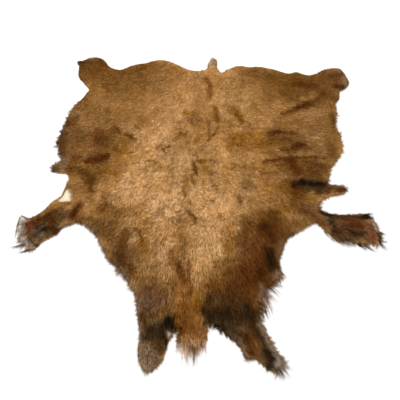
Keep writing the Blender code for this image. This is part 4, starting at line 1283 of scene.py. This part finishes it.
chance = np.random.default_rng(31)
clump_x, clump_y = honeycomb(CLUMP_PITCH, jitter=0.35, seed=32)
held = can_root(clump_x, clump_y)
clump_x, clump_y = clump_x[held], clump_y[held]
clumps = len(clump_x)
clump_lie = look_up(lie_map, clump_x, clump_y)
drift = 0.7 * wander(clump_x, clump_y, 0.045, seed=33) + 0.5 * chance.normal(0, 1, clumps)
clump_heading = np.arctan2(clump_lie[:, 1], clump_lie[:, 0]) + np.radians(clump_lie[:, STRAY]) * drift
clump_curl = np.radians(clump_lie[:, CURL]) * chance.normal(0, 0.9, clumps)
clump_length = clump_lie[:, LENGTH] * MM * chance.uniform(0.82, 1.18, clumps)
clump_shade = 0.5 * wander(clump_x, clump_y, 0.020, seed=34) + 0.5 * chance.normal(0, 0.6, clumps)
clump_lift = chance.uniform(0, 1, clumps)
print("clumps:", clumps)

# %% Planting the locks
RIM_STANDS = 10 * MM  # the solid's height at its edge
TURNS_FROM = 0.35  # how far along a lock its curl passes through its heading
RISES = 1.9  # a lock has risen in full once it has gone its length divided by this
DROOP = 0.16  # of its height, which it has lost at its tip
CREST = (0.92, 0.10)  # of the solid's height: the lowest locks, and how much more the highest
FALLEN = (7, 5, 2.6)  # millimetres over the floor past the skin's edge: root, middle and tip
UNDER_ROOT = 3 * MM  # how deep in the wool a lock starts

lock_of = np.repeat(np.arange(clumps), chance.poisson(LOCKS_A_CLUMP, clumps))
count = len(lock_of)
turn = chance.uniform(0, 2 * math.pi, count)
reach = CLUMP_SPREAD * CLUMP_PITCH * np.sqrt(chance.uniform(0, 1, count))
offset = np.stack([reach * np.cos(turn), reach * np.sin(turn)], axis=1)
root = np.stack([clump_x[lock_of], clump_y[lock_of]], axis=1) + offset
kept = can_root(root[:, 0], root[:, 1])
lock_of, root, offset = lock_of[kept], root[kept], offset[kept]
count = len(lock_of)


def lay_locks(root, offset, heading, curl, length, lift, stations, gather):
    """Centre lines that leave the under-fur, follow the fur's surface and end at their tips."""
    steps = np.linspace(0, 1, stations + 1)
    line = np.zeros((len(root), stations + 1, 3))
    line[:, 0, :2] = root
    for station in range(1, stations + 1):
        middle = (steps[station] + steps[station - 1]) / 2 - TURNS_FROM
        way = heading + curl * middle
        step = length * (steps[station] - steps[station - 1])
        line[:, station, 0] = line[:, station - 1, 0] + step * np.cos(way)
        line[:, station, 1] = line[:, station - 1, 1] + step * np.sin(way)
    line[:, :, :2] -= offset[:, None, :] * (1 - gather) * steps[None, :, None] ** 1.5
    for station in range(stations + 1):
        x, y = line[:, station, 0], line[:, station, 1]
        within = look_up(skin_depth, x, y) > 0
        base = np.where(within, under_height(x, y), 2.4 * MM)
        top = look_up(heights, x, y)
        rise = np.sin(min(1.0, steps[station] * RISES) * math.pi / 2)
        droop = 1 - DROOP * max(0.0, steps[station] - 0.5) * 2
        crest = base + (top * (CREST[0] + CREST[1] * lift) - base) * rise * droop
        fallen = np.interp(steps[station], (0, 0.5, 1), FALLEN) * MM * (0.8 + 0.5 * lift)
        fallen += 0.25 * np.maximum(top - RIM_STANDS, 0)
        line[:, station, 2] = np.where(within, np.maximum(crest, base + steps[station] * MM), fallen)
    line[:, 0, 2] = np.maximum(line[:, 0, 2] - UNDER_ROOT, UNDER_BOTTOM + 0.4 * MM)
    return line


def trimmed(root, offset, heading, curl, length, lift, stations, gather, thin, over):
    """The same, with each lock cut back. thin is how much of the fringe it may cover, from 0 to 1,
    and over is how far past the outline those that cover all of it may go."""
    line = lay_locks(root, offset, heading, curl, length, lift, stations, gather)
    tip_x, tip_y = line[:, -1, 0], line[:, -1, 1]
    fringe_here = look_up(depth, tip_x, tip_y) - look_up(skin_depth, tip_x, tip_y)
    past = -look_up(skin_depth, tip_x, tip_y) - thin * (fringe_here + over)
    kept_share = np.clip(1 - np.maximum(past, 0) / length, 0.2, 1)
    return lay_locks(root, offset, heading, curl, length * kept_share, lift, stations, gather)


def thin_hair(tip):
    """How far into the thin hair outside the skin a lock ends, from 0 to 1."""
    past_skin = look_up(depth, tip[:, 0], tip[:, 1]) - look_up(skin_depth, tip[:, 0], tip[:, 1])
    return np.clip(past_skin / (25 * MM), 0, 1)


heading = clump_heading[lock_of] + np.radians(chance.normal(0, 9, count))
curl = clump_curl[lock_of] + np.radians(chance.normal(0, 14, count))
length = clump_length[lock_of] * chance.uniform(0.75, 1.2, count)
lift = np.clip(clump_lift[lock_of] * 0.7 + chance.uniform(0, 0.3, count), 0, 1)
thin = chance.uniform(0, 1, count) ** 1.6
over = clump_lie[lock_of, RIM] * MM * 0.45
line = trimmed(root, offset, heading, curl, length, lift, 2, TIPS_TOGETHER, thin, over)
width = COAT_WIDTH * chance.uniform(0.7, 1.25, count)[:, None] * np.array([0.95, 0.80])
shade = np.clip(1 + 0.11 * clump_shade[lock_of] + 0.06 * chance.normal(0, 1, count), 0.5, 1.5)
bareness = thin_hair(line[:, 2])[:, None]
shown = line[:, 0, :2] + (0.35 + 0.5 * bareness) * (line[:, 2, :2] - line[:, 0, :2])
shown += chance.normal(0, 5 * MM, (count, 2))
tone = in_shade(look_up(tone_map, shown[:, 0], shown[:, 1]), shade)
stray = chance.uniform(0, 1, count)
print("locks of the coat:", count)

# %% [markdown]
# The coat is dealt out over several pieces like cards, so that no one mesh grows too large. Each piece then
# covers the whole hide thinly.

# %% The coat's pieces
COAT_PIECES = 5
coat = []
for number in range(COAT_PIECES):
    hand = slice(number, None, COAT_PIECES)
    coat.append(grow(f"coat_{number + 1}", line[hand], width[hand], tone[hand], stray[hand]))

# %% [markdown]
# ## Long hair
# On the neck, forelegs, cheeks and forelock, long guard hair lies over the wool. It is thinner and
# straighter than the wool's locks, and it shows as fine streaks along the lie of the hair.

# %% Guard hair over the wool
GUARD_PITCH = 9.0 * MM
GUARD_FROM = 32  # hair this long, in millimetres, starts to carry guard hair over it
GUARD_FULL = 44
GUARD_WIDTH = 2.6 * MM

x, y = honeycomb(GUARD_PITCH, jitter=0.45, seed=41)
long_here = np.clip((look_up(lie_map, x, y)[:, LENGTH] - GUARD_FROM) / (GUARD_FULL - GUARD_FROM), 0, 1)
kept = (look_up(skin_depth, x, y) > EDGE_ROOM) & (chance.uniform(0, 1, len(x)) < long_here)
x, y = x[kept], y[kept]
count = len(x)
lie = look_up(lie_map, x, y)
bend = wander(x, y, 0.05, seed=42) + 0.5 * chance.normal(0, 1, count)
heading = np.arctan2(lie[:, 1], lie[:, 0]) + np.radians(lie[:, STRAY]) * bend * 0.8
curl = np.radians(lie[:, CURL]) * chance.normal(0, 0.5, count)
length = lie[:, LENGTH] * MM * chance.uniform(0.9, 1.6, count)
guard_line = trimmed(
    np.stack([x, y], axis=1), np.zeros((count, 2)), heading, curl, length,
    chance.uniform(0.5, 1, count), 3, 1.0, chance.uniform(0, 1, count) ** 1.4, lie[:, RIM] * MM * 0.8,
)
guard_width = GUARD_WIDTH * chance.uniform(0.6, 1.2, count)[:, None] * np.array([0.8, 1.0, 0.62])
shade = np.clip(1.0 + 0.28 * chance.normal(0, 1, count), 0.4, 1.8)
bareness = thin_hair(guard_line[:, 3])[:, None]
shown = guard_line[:, 1, :2] + 0.8 * bareness * (guard_line[:, 3, :2] - guard_line[:, 1, :2])
guard_tone = in_shade(look_up(tone_map, shown[:, 0], shown[:, 1]), shade)
long_hair = grow("long_hair", guard_line, guard_width, guard_tone, chance.uniform(0, 1, count))

# %% [markdown]
# ## Hair round the rim
# Past the edge the hair has no wool under it, so it lies on the floor: as soft fuzz along the
# flanks, as long wisps on the neck and forelegs, and hardly at all along the trimmed rump.
# The fuzz comes first.

# %% Short hair along the edge
RIM_PITCH = 1.8 * MM
RIM_SPREAD = 9 * MM  # how far in from the edge its roots lie
RIM_WIDTH = 1.7 * MM


def along_the_edge(pitch):
    """Places a pitch apart along the skin's edge, with the way out and the lie of the hair there."""
    place = even_loop(skin_edge, pitch)
    out = look_up(outward, place[:, 0], place[:, 1])
    place -= out * 3 * MM
    out = look_up(outward, place[:, 0], place[:, 1])
    return place, out, look_up(lie_map, place[:, 0], place[:, 1])


def rim_heading(out, lie, skew):
    """Headings between the lie of the hair and the way out, never back into the hide."""
    lie_way = lie[:, :2] / np.hypot(lie[:, 0], lie[:, 1])[:, None]
    outwards = (lie_way * out).sum(axis=1)
    way = lie_way + out * (0.75 + 0.6 * np.clip(-outwards, 0, 1))[:, None]
    return np.arctan2(way[:, 1], way[:, 0]) + np.radians(skew), outwards


place, out, lie = along_the_edge(RIM_PITCH)
count = len(place)
tuft = wander(place[:, 0], place[:, 1], 0.014, seed=51)
heading, outwards = rim_heading(out, lie, 22 * tuft + chance.normal(0, 9, count))
length = (5 + (7 + 0.5 * lie[:, RIM]) * chance.uniform(0, 1, count) ** 1.6) * MM
fringe_here = -look_up(skin_depth - depth, place[:, 0], place[:, 1])
length += fringe_here * chance.uniform(0.1, 1.0, count) ** 1.3
spread = RIM_SPREAD * (1 - 0.7 * np.clip(bare_share(place[:, 0], place[:, 1]), 0, 1))
root = place - out * (spread * chance.uniform(0, 1, count))[:, None]
rim_line = lay_locks(
    root, np.zeros((count, 2)), heading, np.radians(chance.normal(0, 22, count)), length,
    chance.uniform(0, 1, count), 2, 1.0,
)
rim_width = RIM_WIDTH * chance.uniform(0.5, 1.2, count)[:, None] * np.array([0.9, 0.7])
shade = np.clip(0.85 + 0.15 * chance.normal(0, 1, count), 0.4, 1.4)
rim_tone = in_shade(look_up(tone_map, rim_line[:, 1, 0], rim_line[:, 1, 1]), shade)
edge_hair = grow("edge_hair", rim_line, rim_width, rim_tone, chance.uniform(0, 1, count))

# %% [markdown]
# Longer rim hair clings together in wisps. The hairs of a wisp start side by side and end near one
# tip. Most wisps follow the table of the lie, and the ones that stand out have a row each.
#
# Columns: x and y of the root, in centimetres; heading in degrees; length and spread at the root,
# in centimetres; bend along the length in degrees; how many hairs; and the tone of their tips.

# %% The wisps that stand out
Wisp = namedtuple("Wisp", "place x y heading length spread bend hairs tone")
WISPS = [Wisp(*row) for row in (
    ("forelock, left edge", -12.8, -83, 267, 12, 1.2, -4, 20, "fawn"),
    ("forelock, left", -11, -85, 269, 14, 1.4, 4, 26, "fawn"),
    ("forelock, left of the middle", -8.4, -86, 269, 17, 1.3, 0, 28, "fawn"),
    ("forelock, middle", -6, -88, 270, 11, 0.9, 0, 14, "fawn"),
    ("forelock, right of the middle", -3.6, -86, 270, 17, 1.3, 0, 28, "fawn"),
    ("forelock, right", -1, -85, 271, 13, 1.1, 0, 20, "fawn"),
    ("forelock, right edge", 1.8, -82, 272, 14, 1.2, 0, 22, "fawn"),
    ("right cheek, long tip", 45, -99, 311, 16, 2.4, 4, 12, "bark"),
    ("right cheek, upper tip", 46, -97, 318, 13, 2.4, 6, 8, "smoke"),
    ("right cheek, outer", 44, -93, 322, 10, 2.0, 8, 9, "ash"),
    ("right cheek, lower tip", 44, -101, 304, 12, 1.4, -5, 20, "bark"),
    ("right cheek, foot", 41, -101, 300, 4.5, 1.4, 0, 10, "bark"),
    ("right cheek, edge", 40, -86, 316, 8, 1.8, 10, 8, "ash"),
    ("right cheek, upper edge", 38, -80, 310, 7, 1.8, 10, 7, "ash"),
    ("right neck, first", 44, -50, 330, 11, 1.2, 10, 10, "smoke"),
    ("right neck, second", 42, -53, 322, 13, 1.4, -12, 11, "smoke"),
    ("right neck, third", 40, -56, 314, 14, 1.8, -18, 10, "ash"),
    ("right neck, fourth", 39.5, -58, 302, 10, 1.8, 16, 9, "ash"),
    ("right neck, fifth", 38, -61, 314, 13, 1.8, -40, 12, "ash"),
    ("right neck, sixth", 37.5, -64, 300, 12, 1.6, -20, 16, "smoke"),
    ("right neck, seventh", 37, -67, 290, 10, 1.4, 10, 14, "smoke"),
    ("right chest, rim", 47.5, -46, 318, 7, 1.6, -35, 8, "ash"),
    ("right foreleg, root", 81, -17, 292, 5, 2.0, -10, 9, "smoke"),
    ("right foreleg, below", 84, -20, 292, 6, 2.0, 20, 12, "smoke"),
    ("right foreleg, below, second", 87.5, -22, 306, 7, 2.0, -15, 12, "smoke"),
    ("right foreleg, below, third", 91, -23, 312, 9, 1.8, 25, 12, "smoke"),
    ("right foreleg, below, fourth", 95, -24, 326, 7, 1.8, 10, 10, "smoke"),
    ("right foreleg, below, fifth", 101, -25, 322, 8, 1.6, 0, 16, "bark"),
    ("right foreleg, long curve", 104, -25.5, 322, 12, 0.6, 18, 9, "smoke"),
    ("right foreleg, heel", 112, -21, 306, 12, 0.8, 8, 16, "soot"),
    ("right foreleg, end", 113, -18, 350, 7, 0.9, -10, 12, "soot"),
    ("right foreleg, end, lower", 113.5, -20.5, 335, 6, 0.9, 20, 12, "bark"),
    ("right foreleg, corner", 104, -7.5, 20, 10, 0.8, -14, 16, "soot"),
    ("right foreleg, corner, lower", 106, -8, 352, 8, 0.7, 22, 12, "soot"),
    ("right foreleg, top", 100, -7, 28, 6, 1.0, -20, 10, "smoke"),
    ("left foreleg, corner", -111, -10, 140, 7, 0.8, -10, 6, "bark"),
    ("left foreleg, cuff", -116.5, -8, 262, 17, 0.4, 14, 7, "smoke"),
    ("left foreleg, cuff, first", -111.5, -9.5, 165, 7.5, 1.6, 30, 26, "silver"),
    ("left foreleg, cuff, second", -111.5, -12.5, 180, 8, 1.6, 30, 26, "silver"),
    ("left foreleg, cuff, third", -111.5, -15.5, 190, 7.5, 1.6, 30, 26, "silver"),
    ("left foreleg, cuff, fourth", -111.5, -18.5, 200, 7, 1.6, 20, 24, "silver"),
    ("left foreleg, cuff, fifth", -111, -21.5, 205, 7, 1.6, 0, 22, "ash"),
    ("left foreleg, lower cuff", -111, -26.5, 188, 11, 0.8, 12, 12, "smoke"),
    ("left foreleg, foot", -108, -29, 205, 9, 0.8, -25, 12, "smoke"),
    ("left elbow tab, top", -95, 29.5, 128, 3, 1.4, 10, 9, "bark"),
    ("left elbow tab, tip", -97, 27, 168, 4, 1.6, 0, 10, "smoke"),
    ("left elbow tab, foot", -97, 24.5, 205, 3.2, 1.4, 0, 9, "bark"),
    ("right elbow, notch", 83.5, 21, 12, 4, 1.6, 10, 10, "smoke"),
    ("right elbow, notch, lower", 83.5, 18, 350, 4.5, 1.6, 0, 10, "ash"),
    ("right elbow, above the notch", 84, 25, 20, 3.5, 1.4, 0, 8, "smoke"),
    ("left flank, low spike", -94, 37, 190, 3.2, 1.0, 10, 10, "soot"),
    ("left flank, spike", -95, 45, 172, 3.5, 1.0, -10, 10, "soot"),
    ("left flank, high spike", -93.5, 53, 165, 3.0, 1.0, 0, 9, "bark"),
    ("left hind leg, tip", -83, 107, 172, 4, 1.2, 0, 12, "bark"),
)]
print("wisps by hand:", len(WISPS))

# %% Laying all wisps
WISP_PITCH = 11 * MM
HAIRS_A_WISP = 9
WISP_SPREAD = 9 * MM
WISP_WIDTH = 1.5 * MM
WISP_FROM = 5  # rim hair at least this long, in millimetres, makes wisps

place, out, lie = along_the_edge(WISP_PITCH)
kept = lie[:, RIM] > WISP_FROM
place, out, lie = place[kept], out[kept], lie[kept]
wisps = len(place)
heading, outwards = rim_heading(out, lie, 26 * chance.normal(0, 1, wisps))
reach = lie[:, RIM] * np.clip(0.6 + 0.4 * outwards, 0.3, 1) * chance.uniform(0.15, 1.25, wisps) ** 1.4
fringe_here = -look_up(skin_depth - depth, place[:, 0], place[:, 1])
reach = (8 + reach) * MM + fringe_here
bend = chance.normal(0, 35, wisps)
middle = place + out * (6 * MM + 0.6 * fringe_here)[:, None]
wisp_tones = look_up(tone_map, middle[:, 0], middle[:, 1])

by_hand = np.array([wisp[1:8] for wisp in WISPS], float)
place = np.concatenate([place, by_hand[:, :2] * CM - np.array(PLAN_MIDDLE.xy)])
heading = np.concatenate([heading, np.radians(by_hand[:, 2])])
reach = np.concatenate([reach, by_hand[:, 3] * CM])
spread = np.concatenate([np.full(wisps, WISP_SPREAD), by_hand[:, 4] * CM])
bend = np.concatenate([bend, by_hand[:, 5]])
hairs = np.concatenate([np.full(wisps, HAIRS_A_WISP), by_hand[:, 6].astype(int)])
wisp_tones = np.concatenate([wisp_tones, [linear(TONES[wisp.tone]) for wisp in WISPS]])
wisp_of = np.repeat(np.arange(len(place)), hairs)
count = len(wisp_of)
beside = np.stack([-np.sin(heading), np.cos(heading)], axis=1)[wisp_of]
ahead = np.stack([np.cos(heading), np.sin(heading)], axis=1)[wisp_of]
offset = beside * (spread[wisp_of] * chance.uniform(-1, 1, count))[:, None]
root = place[wisp_of] + offset - ahead * (6 * MM * chance.uniform(0, 1, count))[:, None]
wisp_line = lay_locks(
    root, offset, heading[wisp_of] + np.radians(chance.normal(0, 4, count)),
    np.radians(bend[wisp_of] + chance.normal(0, 10, count)),
    reach[wisp_of] * chance.uniform(0.50, 1.10, count), chance.uniform(0, 1, count), 3, 0.35,
)
thickness = np.where(wisp_of < wisps, WISP_WIDTH, 1.4 * WISP_WIDTH) * chance.uniform(0.6, 1.2, count)
wisp_width = thickness[:, None] * np.array([1.0, 1.0, 0.7])
shade = 0.8 + 0.2 * chance.normal(0, 1, len(place))[wisp_of] + 0.1 * chance.normal(0, 1, count)
wisp_tone = in_shade(wisp_tones[wisp_of], np.clip(shade, 0.3, 1.4))
wisp_hair = grow("wisps", wisp_line, wisp_width, wisp_tone, chance.uniform(0, 1, count))

# %% [markdown]
# ## The finish of the fur
# All fur shares one recipe, a node group called "fur tone". It takes the tone that the hair grew
# with, leaves it dark at the root, bleaches it towards the tip, and shifts it a little at three
# sizes: broad cloudy patches, tufts, and single locks.


# %% Wiring nodes together
def wire(tree, kind, inputs, **settings):
    """A node of one kind with its settings made and its inputs set to a value or another socket."""
    node = tree.nodes.new(kind)
    for name, value in settings.items():
        setattr(node, name, value)
    for socket, value in inputs.items():
        if isinstance(value, bpy.types.NodeSocket):
            tree.links.new(value, node.inputs[socket])
        else:
            node.inputs[socket].default_value = value
    return node


def attribute(tree, name):
    """The node that reads one of a mesh's attributes."""
    return wire(tree, "ShaderNodeAttribute", {}, attribute_name=name)


def reckon(tree, operation, *values):
    """What a math node makes of some sockets and numbers."""
    return wire(tree, "ShaderNodeMath", dict(enumerate(values)), operation=operation).outputs[0]


def noise(tree, place, **inputs):
    """What a noise texture gives at a place."""
    named = {name.capitalize(): value for name, value in inputs.items()}
    return wire(tree, "ShaderNodeTexNoise", {"Vector": place, **named}).outputs["Fac"]


def spread_over(tree, value, low, high):
    """A value from 0 to 1 turned into one from low to high."""
    return wire(tree, "ShaderNodeMapRange", {"Value": value, "To Min": low, "To Max": high}).outputs[0]


# %% The group that colours fur
def fur_tone_group():
    """Colour and relief of fur from its tone, its place along the hair and its lock's number."""
    group = bpy.data.node_groups.new("fur tone", "ShaderNodeTree")
    group.interface.new_socket("Tone", in_out="INPUT", socket_type="NodeSocketColor")
    for name in ("Along", "Stray", "Root shade", "Tip light", "Mottle"):
        group.interface.new_socket(name, in_out="INPUT", socket_type="NodeSocketFloat")
    group.interface.new_socket("Color", in_out="OUTPUT", socket_type="NodeSocketColor")
    group.interface.new_socket("Relief", in_out="OUTPUT", socket_type="NodeSocketFloat")
    given = group.nodes.new("NodeGroupInput")
    result = group.nodes.new("NodeGroupOutput")
    place = group.nodes.new("ShaderNodeTexCoord").outputs["Object"]

    ramp = wire(group, "ShaderNodeMapRange", {
        "Value": given.outputs["Along"], "From Min": 0.0, "From Max": 1.0,
        "To Min": given.outputs["Root shade"], "To Max": given.outputs["Tip light"],
    }, interpolation_type="SMOOTHSTEP")
    clouds = noise(group, place, scale=9.0, detail=3.0)
    tufts = noise(group, place, scale=55.0, detail=2.0)
    mottle = reckon(group, "SUBTRACT", reckon(group, "ADD", clouds, tufts), 1.0)
    weighed = reckon(group, "MULTIPLY_ADD", mottle, given.outputs["Mottle"], 1.0)
    lock = spread_over(group, given.outputs["Stray"], 0.94, 1.06)
    bright = reckon(group, "MULTIPLY", ramp.outputs[0], weighed)
    level = reckon(group, "MULTIPLY", bright, lock)
    levels = wire(group, "ShaderNodeCombineXYZ", {
        axis: reckon(group, "POWER", level, float(power)) for axis, power in zip("XYZ", WARMTH)
    })
    shaded = wire(group, "ShaderNodeVectorMath", {
        0: given.outputs["Tone"], 1: levels.outputs[0],
    }, operation="MULTIPLY")
    hue = spread_over(group, given.outputs["Stray"], 0.494, 0.506)
    turned = wire(group, "ShaderNodeHueSaturation", {"Hue": hue, "Color": shaded.outputs[0]})
    group.links.new(turned.outputs["Color"], result.inputs["Color"])
    fine = noise(group, place, scale=420.0, detail=3.0, roughness=0.6)
    group.links.new(fine, result.inputs["Relief"])
    return group


FUR_TONE = fur_tone_group()
print("fur tone:", len(FUR_TONE.nodes), "nodes")

# %% [markdown]
# The coat, the guard hair and the under-fur each place that group with their own numbers. Hair has
# no mirror-like gloss, so roughness stays high. The guard hair is the glossiest.

# %% The three finishes of fur
FUR_RELIEF = 1.2 * MM
ROUGHNESS_EITHER_WAY = 0.08
FUR_GLOSS = 0.03


def emboss(tree, shader, height, strength, distance):
    """Gives a shader fine relief."""
    bump = wire(tree, "ShaderNodeBump", {"Height": height, "Strength": strength, "Distance": distance})
    tree.links.new(bump.outputs["Normal"], shader.inputs["Normal"])


def fur_finish(name, root_shade, tip_light, mottle, roughness, relief):
    """A fur material."""
    material, shader = material_named(name)
    tree = material.node_tree
    toned = wire(tree, "ShaderNodeGroup", {
        "Tone": attribute(tree, "tone").outputs["Color"],
        "Along": attribute(tree, "along").outputs["Fac"],
        "Stray": attribute(tree, "stray").outputs["Fac"],
        "Root shade": root_shade, "Tip light": tip_light, "Mottle": mottle,
    }, node_tree=FUR_TONE)
    tree.links.new(toned.outputs["Color"], shader.inputs["Base Color"])
    emboss(tree, shader, toned.outputs["Relief"], relief, FUR_RELIEF)
    low, high = roughness - ROUGHNESS_EITHER_WAY, roughness + ROUGHNESS_EITHER_WAY
    tree.links.new(spread_over(tree, toned.outputs["Relief"], low, high), shader.inputs["Roughness"])
    shader.inputs["Specular IOR Level"].default_value = FUR_GLOSS
    return material


coat_fur = fur_finish("coat of wool", 1.06, 1.58, mottle=0.60, roughness=0.80, relief=0.35)
guard_fur = fur_finish("guard hair", 0.98, 1.58, mottle=0.70, roughness=0.66, relief=0.25)
wool_fur = fur_finish("under-fur", 1.0, 1.0, mottle=0.90, roughness=0.88, relief=0.60)
for piece in coat:
    piece.data.materials.append(coat_fur)
for piece in (long_hair, edge_hair, wisp_hair):
    piece.data.materials.append(guard_fur)
under_fur.data.materials.append(wool_fur)
print("finishes:", coat_fur.name, "+", guard_fur.name, "+", wool_fur.name)

# %% [markdown]
# The under-fur has no locks, so its points get their tone here, and a picture map seen from above.

# %% The under-fur's tone
UNDER_SHADE = 0.8  # less light gets down to the wool
MAP_MARGIN = 0.01
HALFWAY = 0.5  # the place along the hair, and the lock's number, that all its points get


def dress_from_above(piece, shade):
    """Gives a piece its tone, a place along the hair and a picture map seen from straight above."""
    mesh = piece.data
    at = np.empty(len(mesh.vertices) * 3, np.float32)
    mesh.vertices.foreach_get("co", at)
    at = at.reshape(-1, 3)
    colours = np.ones((len(at), 4), np.float32)
    colours[:, :3] = look_up(tone_map, at[:, 0], at[:, 1]) * shade
    mark_points(mesh, "tone", "FLOAT_COLOR", "color", colours)
    for name in ("along", "stray"):
        mark_points(mesh, name, "FLOAT", "value", np.full(len(at), HALFWAY))
    corners = np.empty(len(mesh.loops), np.int32)
    mesh.loops.foreach_get("vertex_index", corners)
    low = at[:, :2].min(axis=0)
    size = np.ptp(at[:, :2], axis=0).max() * (1 + 2 * MAP_MARGIN)
    mark_corners(mesh, (at[corners, :2] - low) / size + MAP_MARGIN)


dress_from_above(under_fur, UNDER_SHADE)
print("under-fur points with a tone:", len(under_fur.data.vertices))

# %% [markdown]
# ## The finish of the leather
# Tanned leather is cream, matt and slightly napped. It is a little yellow where the tanning oil has
# gathered, with fine wrinkles all over.

# %% Leather
OILED = (0.34, (0.62, 0.47, 0.29, 1.0))  # where on the noise's range the oil is all there, and its colour
DRY = (0.60, (0.84, 0.74, 0.57, 1.0))
LEATHER_RELIEF = 1.5 * MM
GRAIN_SHARE = 0.5  # of the relief that the wrinkles make

leather, shader = material_named("tanned leather")
wiring = leather.node_tree
place = wiring.nodes.new("ShaderNodeTexCoord").outputs["Object"]
oil = noise(wiring, place, scale=3.2, detail=4.0, roughness=0.6)
cream = wire(wiring, "ShaderNodeValToRGB", {"Fac": oil})
for stop, (position, colour) in zip(cream.color_ramp.elements, (OILED, DRY)):
    stop.position = position
    stop.color = colour
wiring.links.new(cream.outputs["Color"], shader.inputs["Base Color"])
grain = wire(wiring, "ShaderNodeTexVoronoi", {"Vector": place, "Scale": 260.0}, feature="DISTANCE_TO_EDGE")
wrinkle = noise(wiring, place, scale=26.0, detail=5.0, roughness=0.62)
relief = reckon(wiring, "MULTIPLY_ADD", grain.outputs["Distance"], GRAIN_SHARE, wrinkle)
emboss(wiring, shader, relief, 0.45, LEATHER_RELIEF)
wiring.links.new(spread_over(wiring, wrinkle, 0.68, 0.88), shader.inputs["Roughness"])
skin.data.materials.append(leather)
print("leather:", leather.name)

# %% [markdown]
# ## Attaching the pieces
# Everything rides on the one body and stands for the plain solid, which is hidden.

# %% Attaching the pieces
furs = [under_fur, *coat, long_hair, edge_hair, wisp_hair]
for piece in (skin, *furs):
    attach(piece, "root")
    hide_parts("hide")
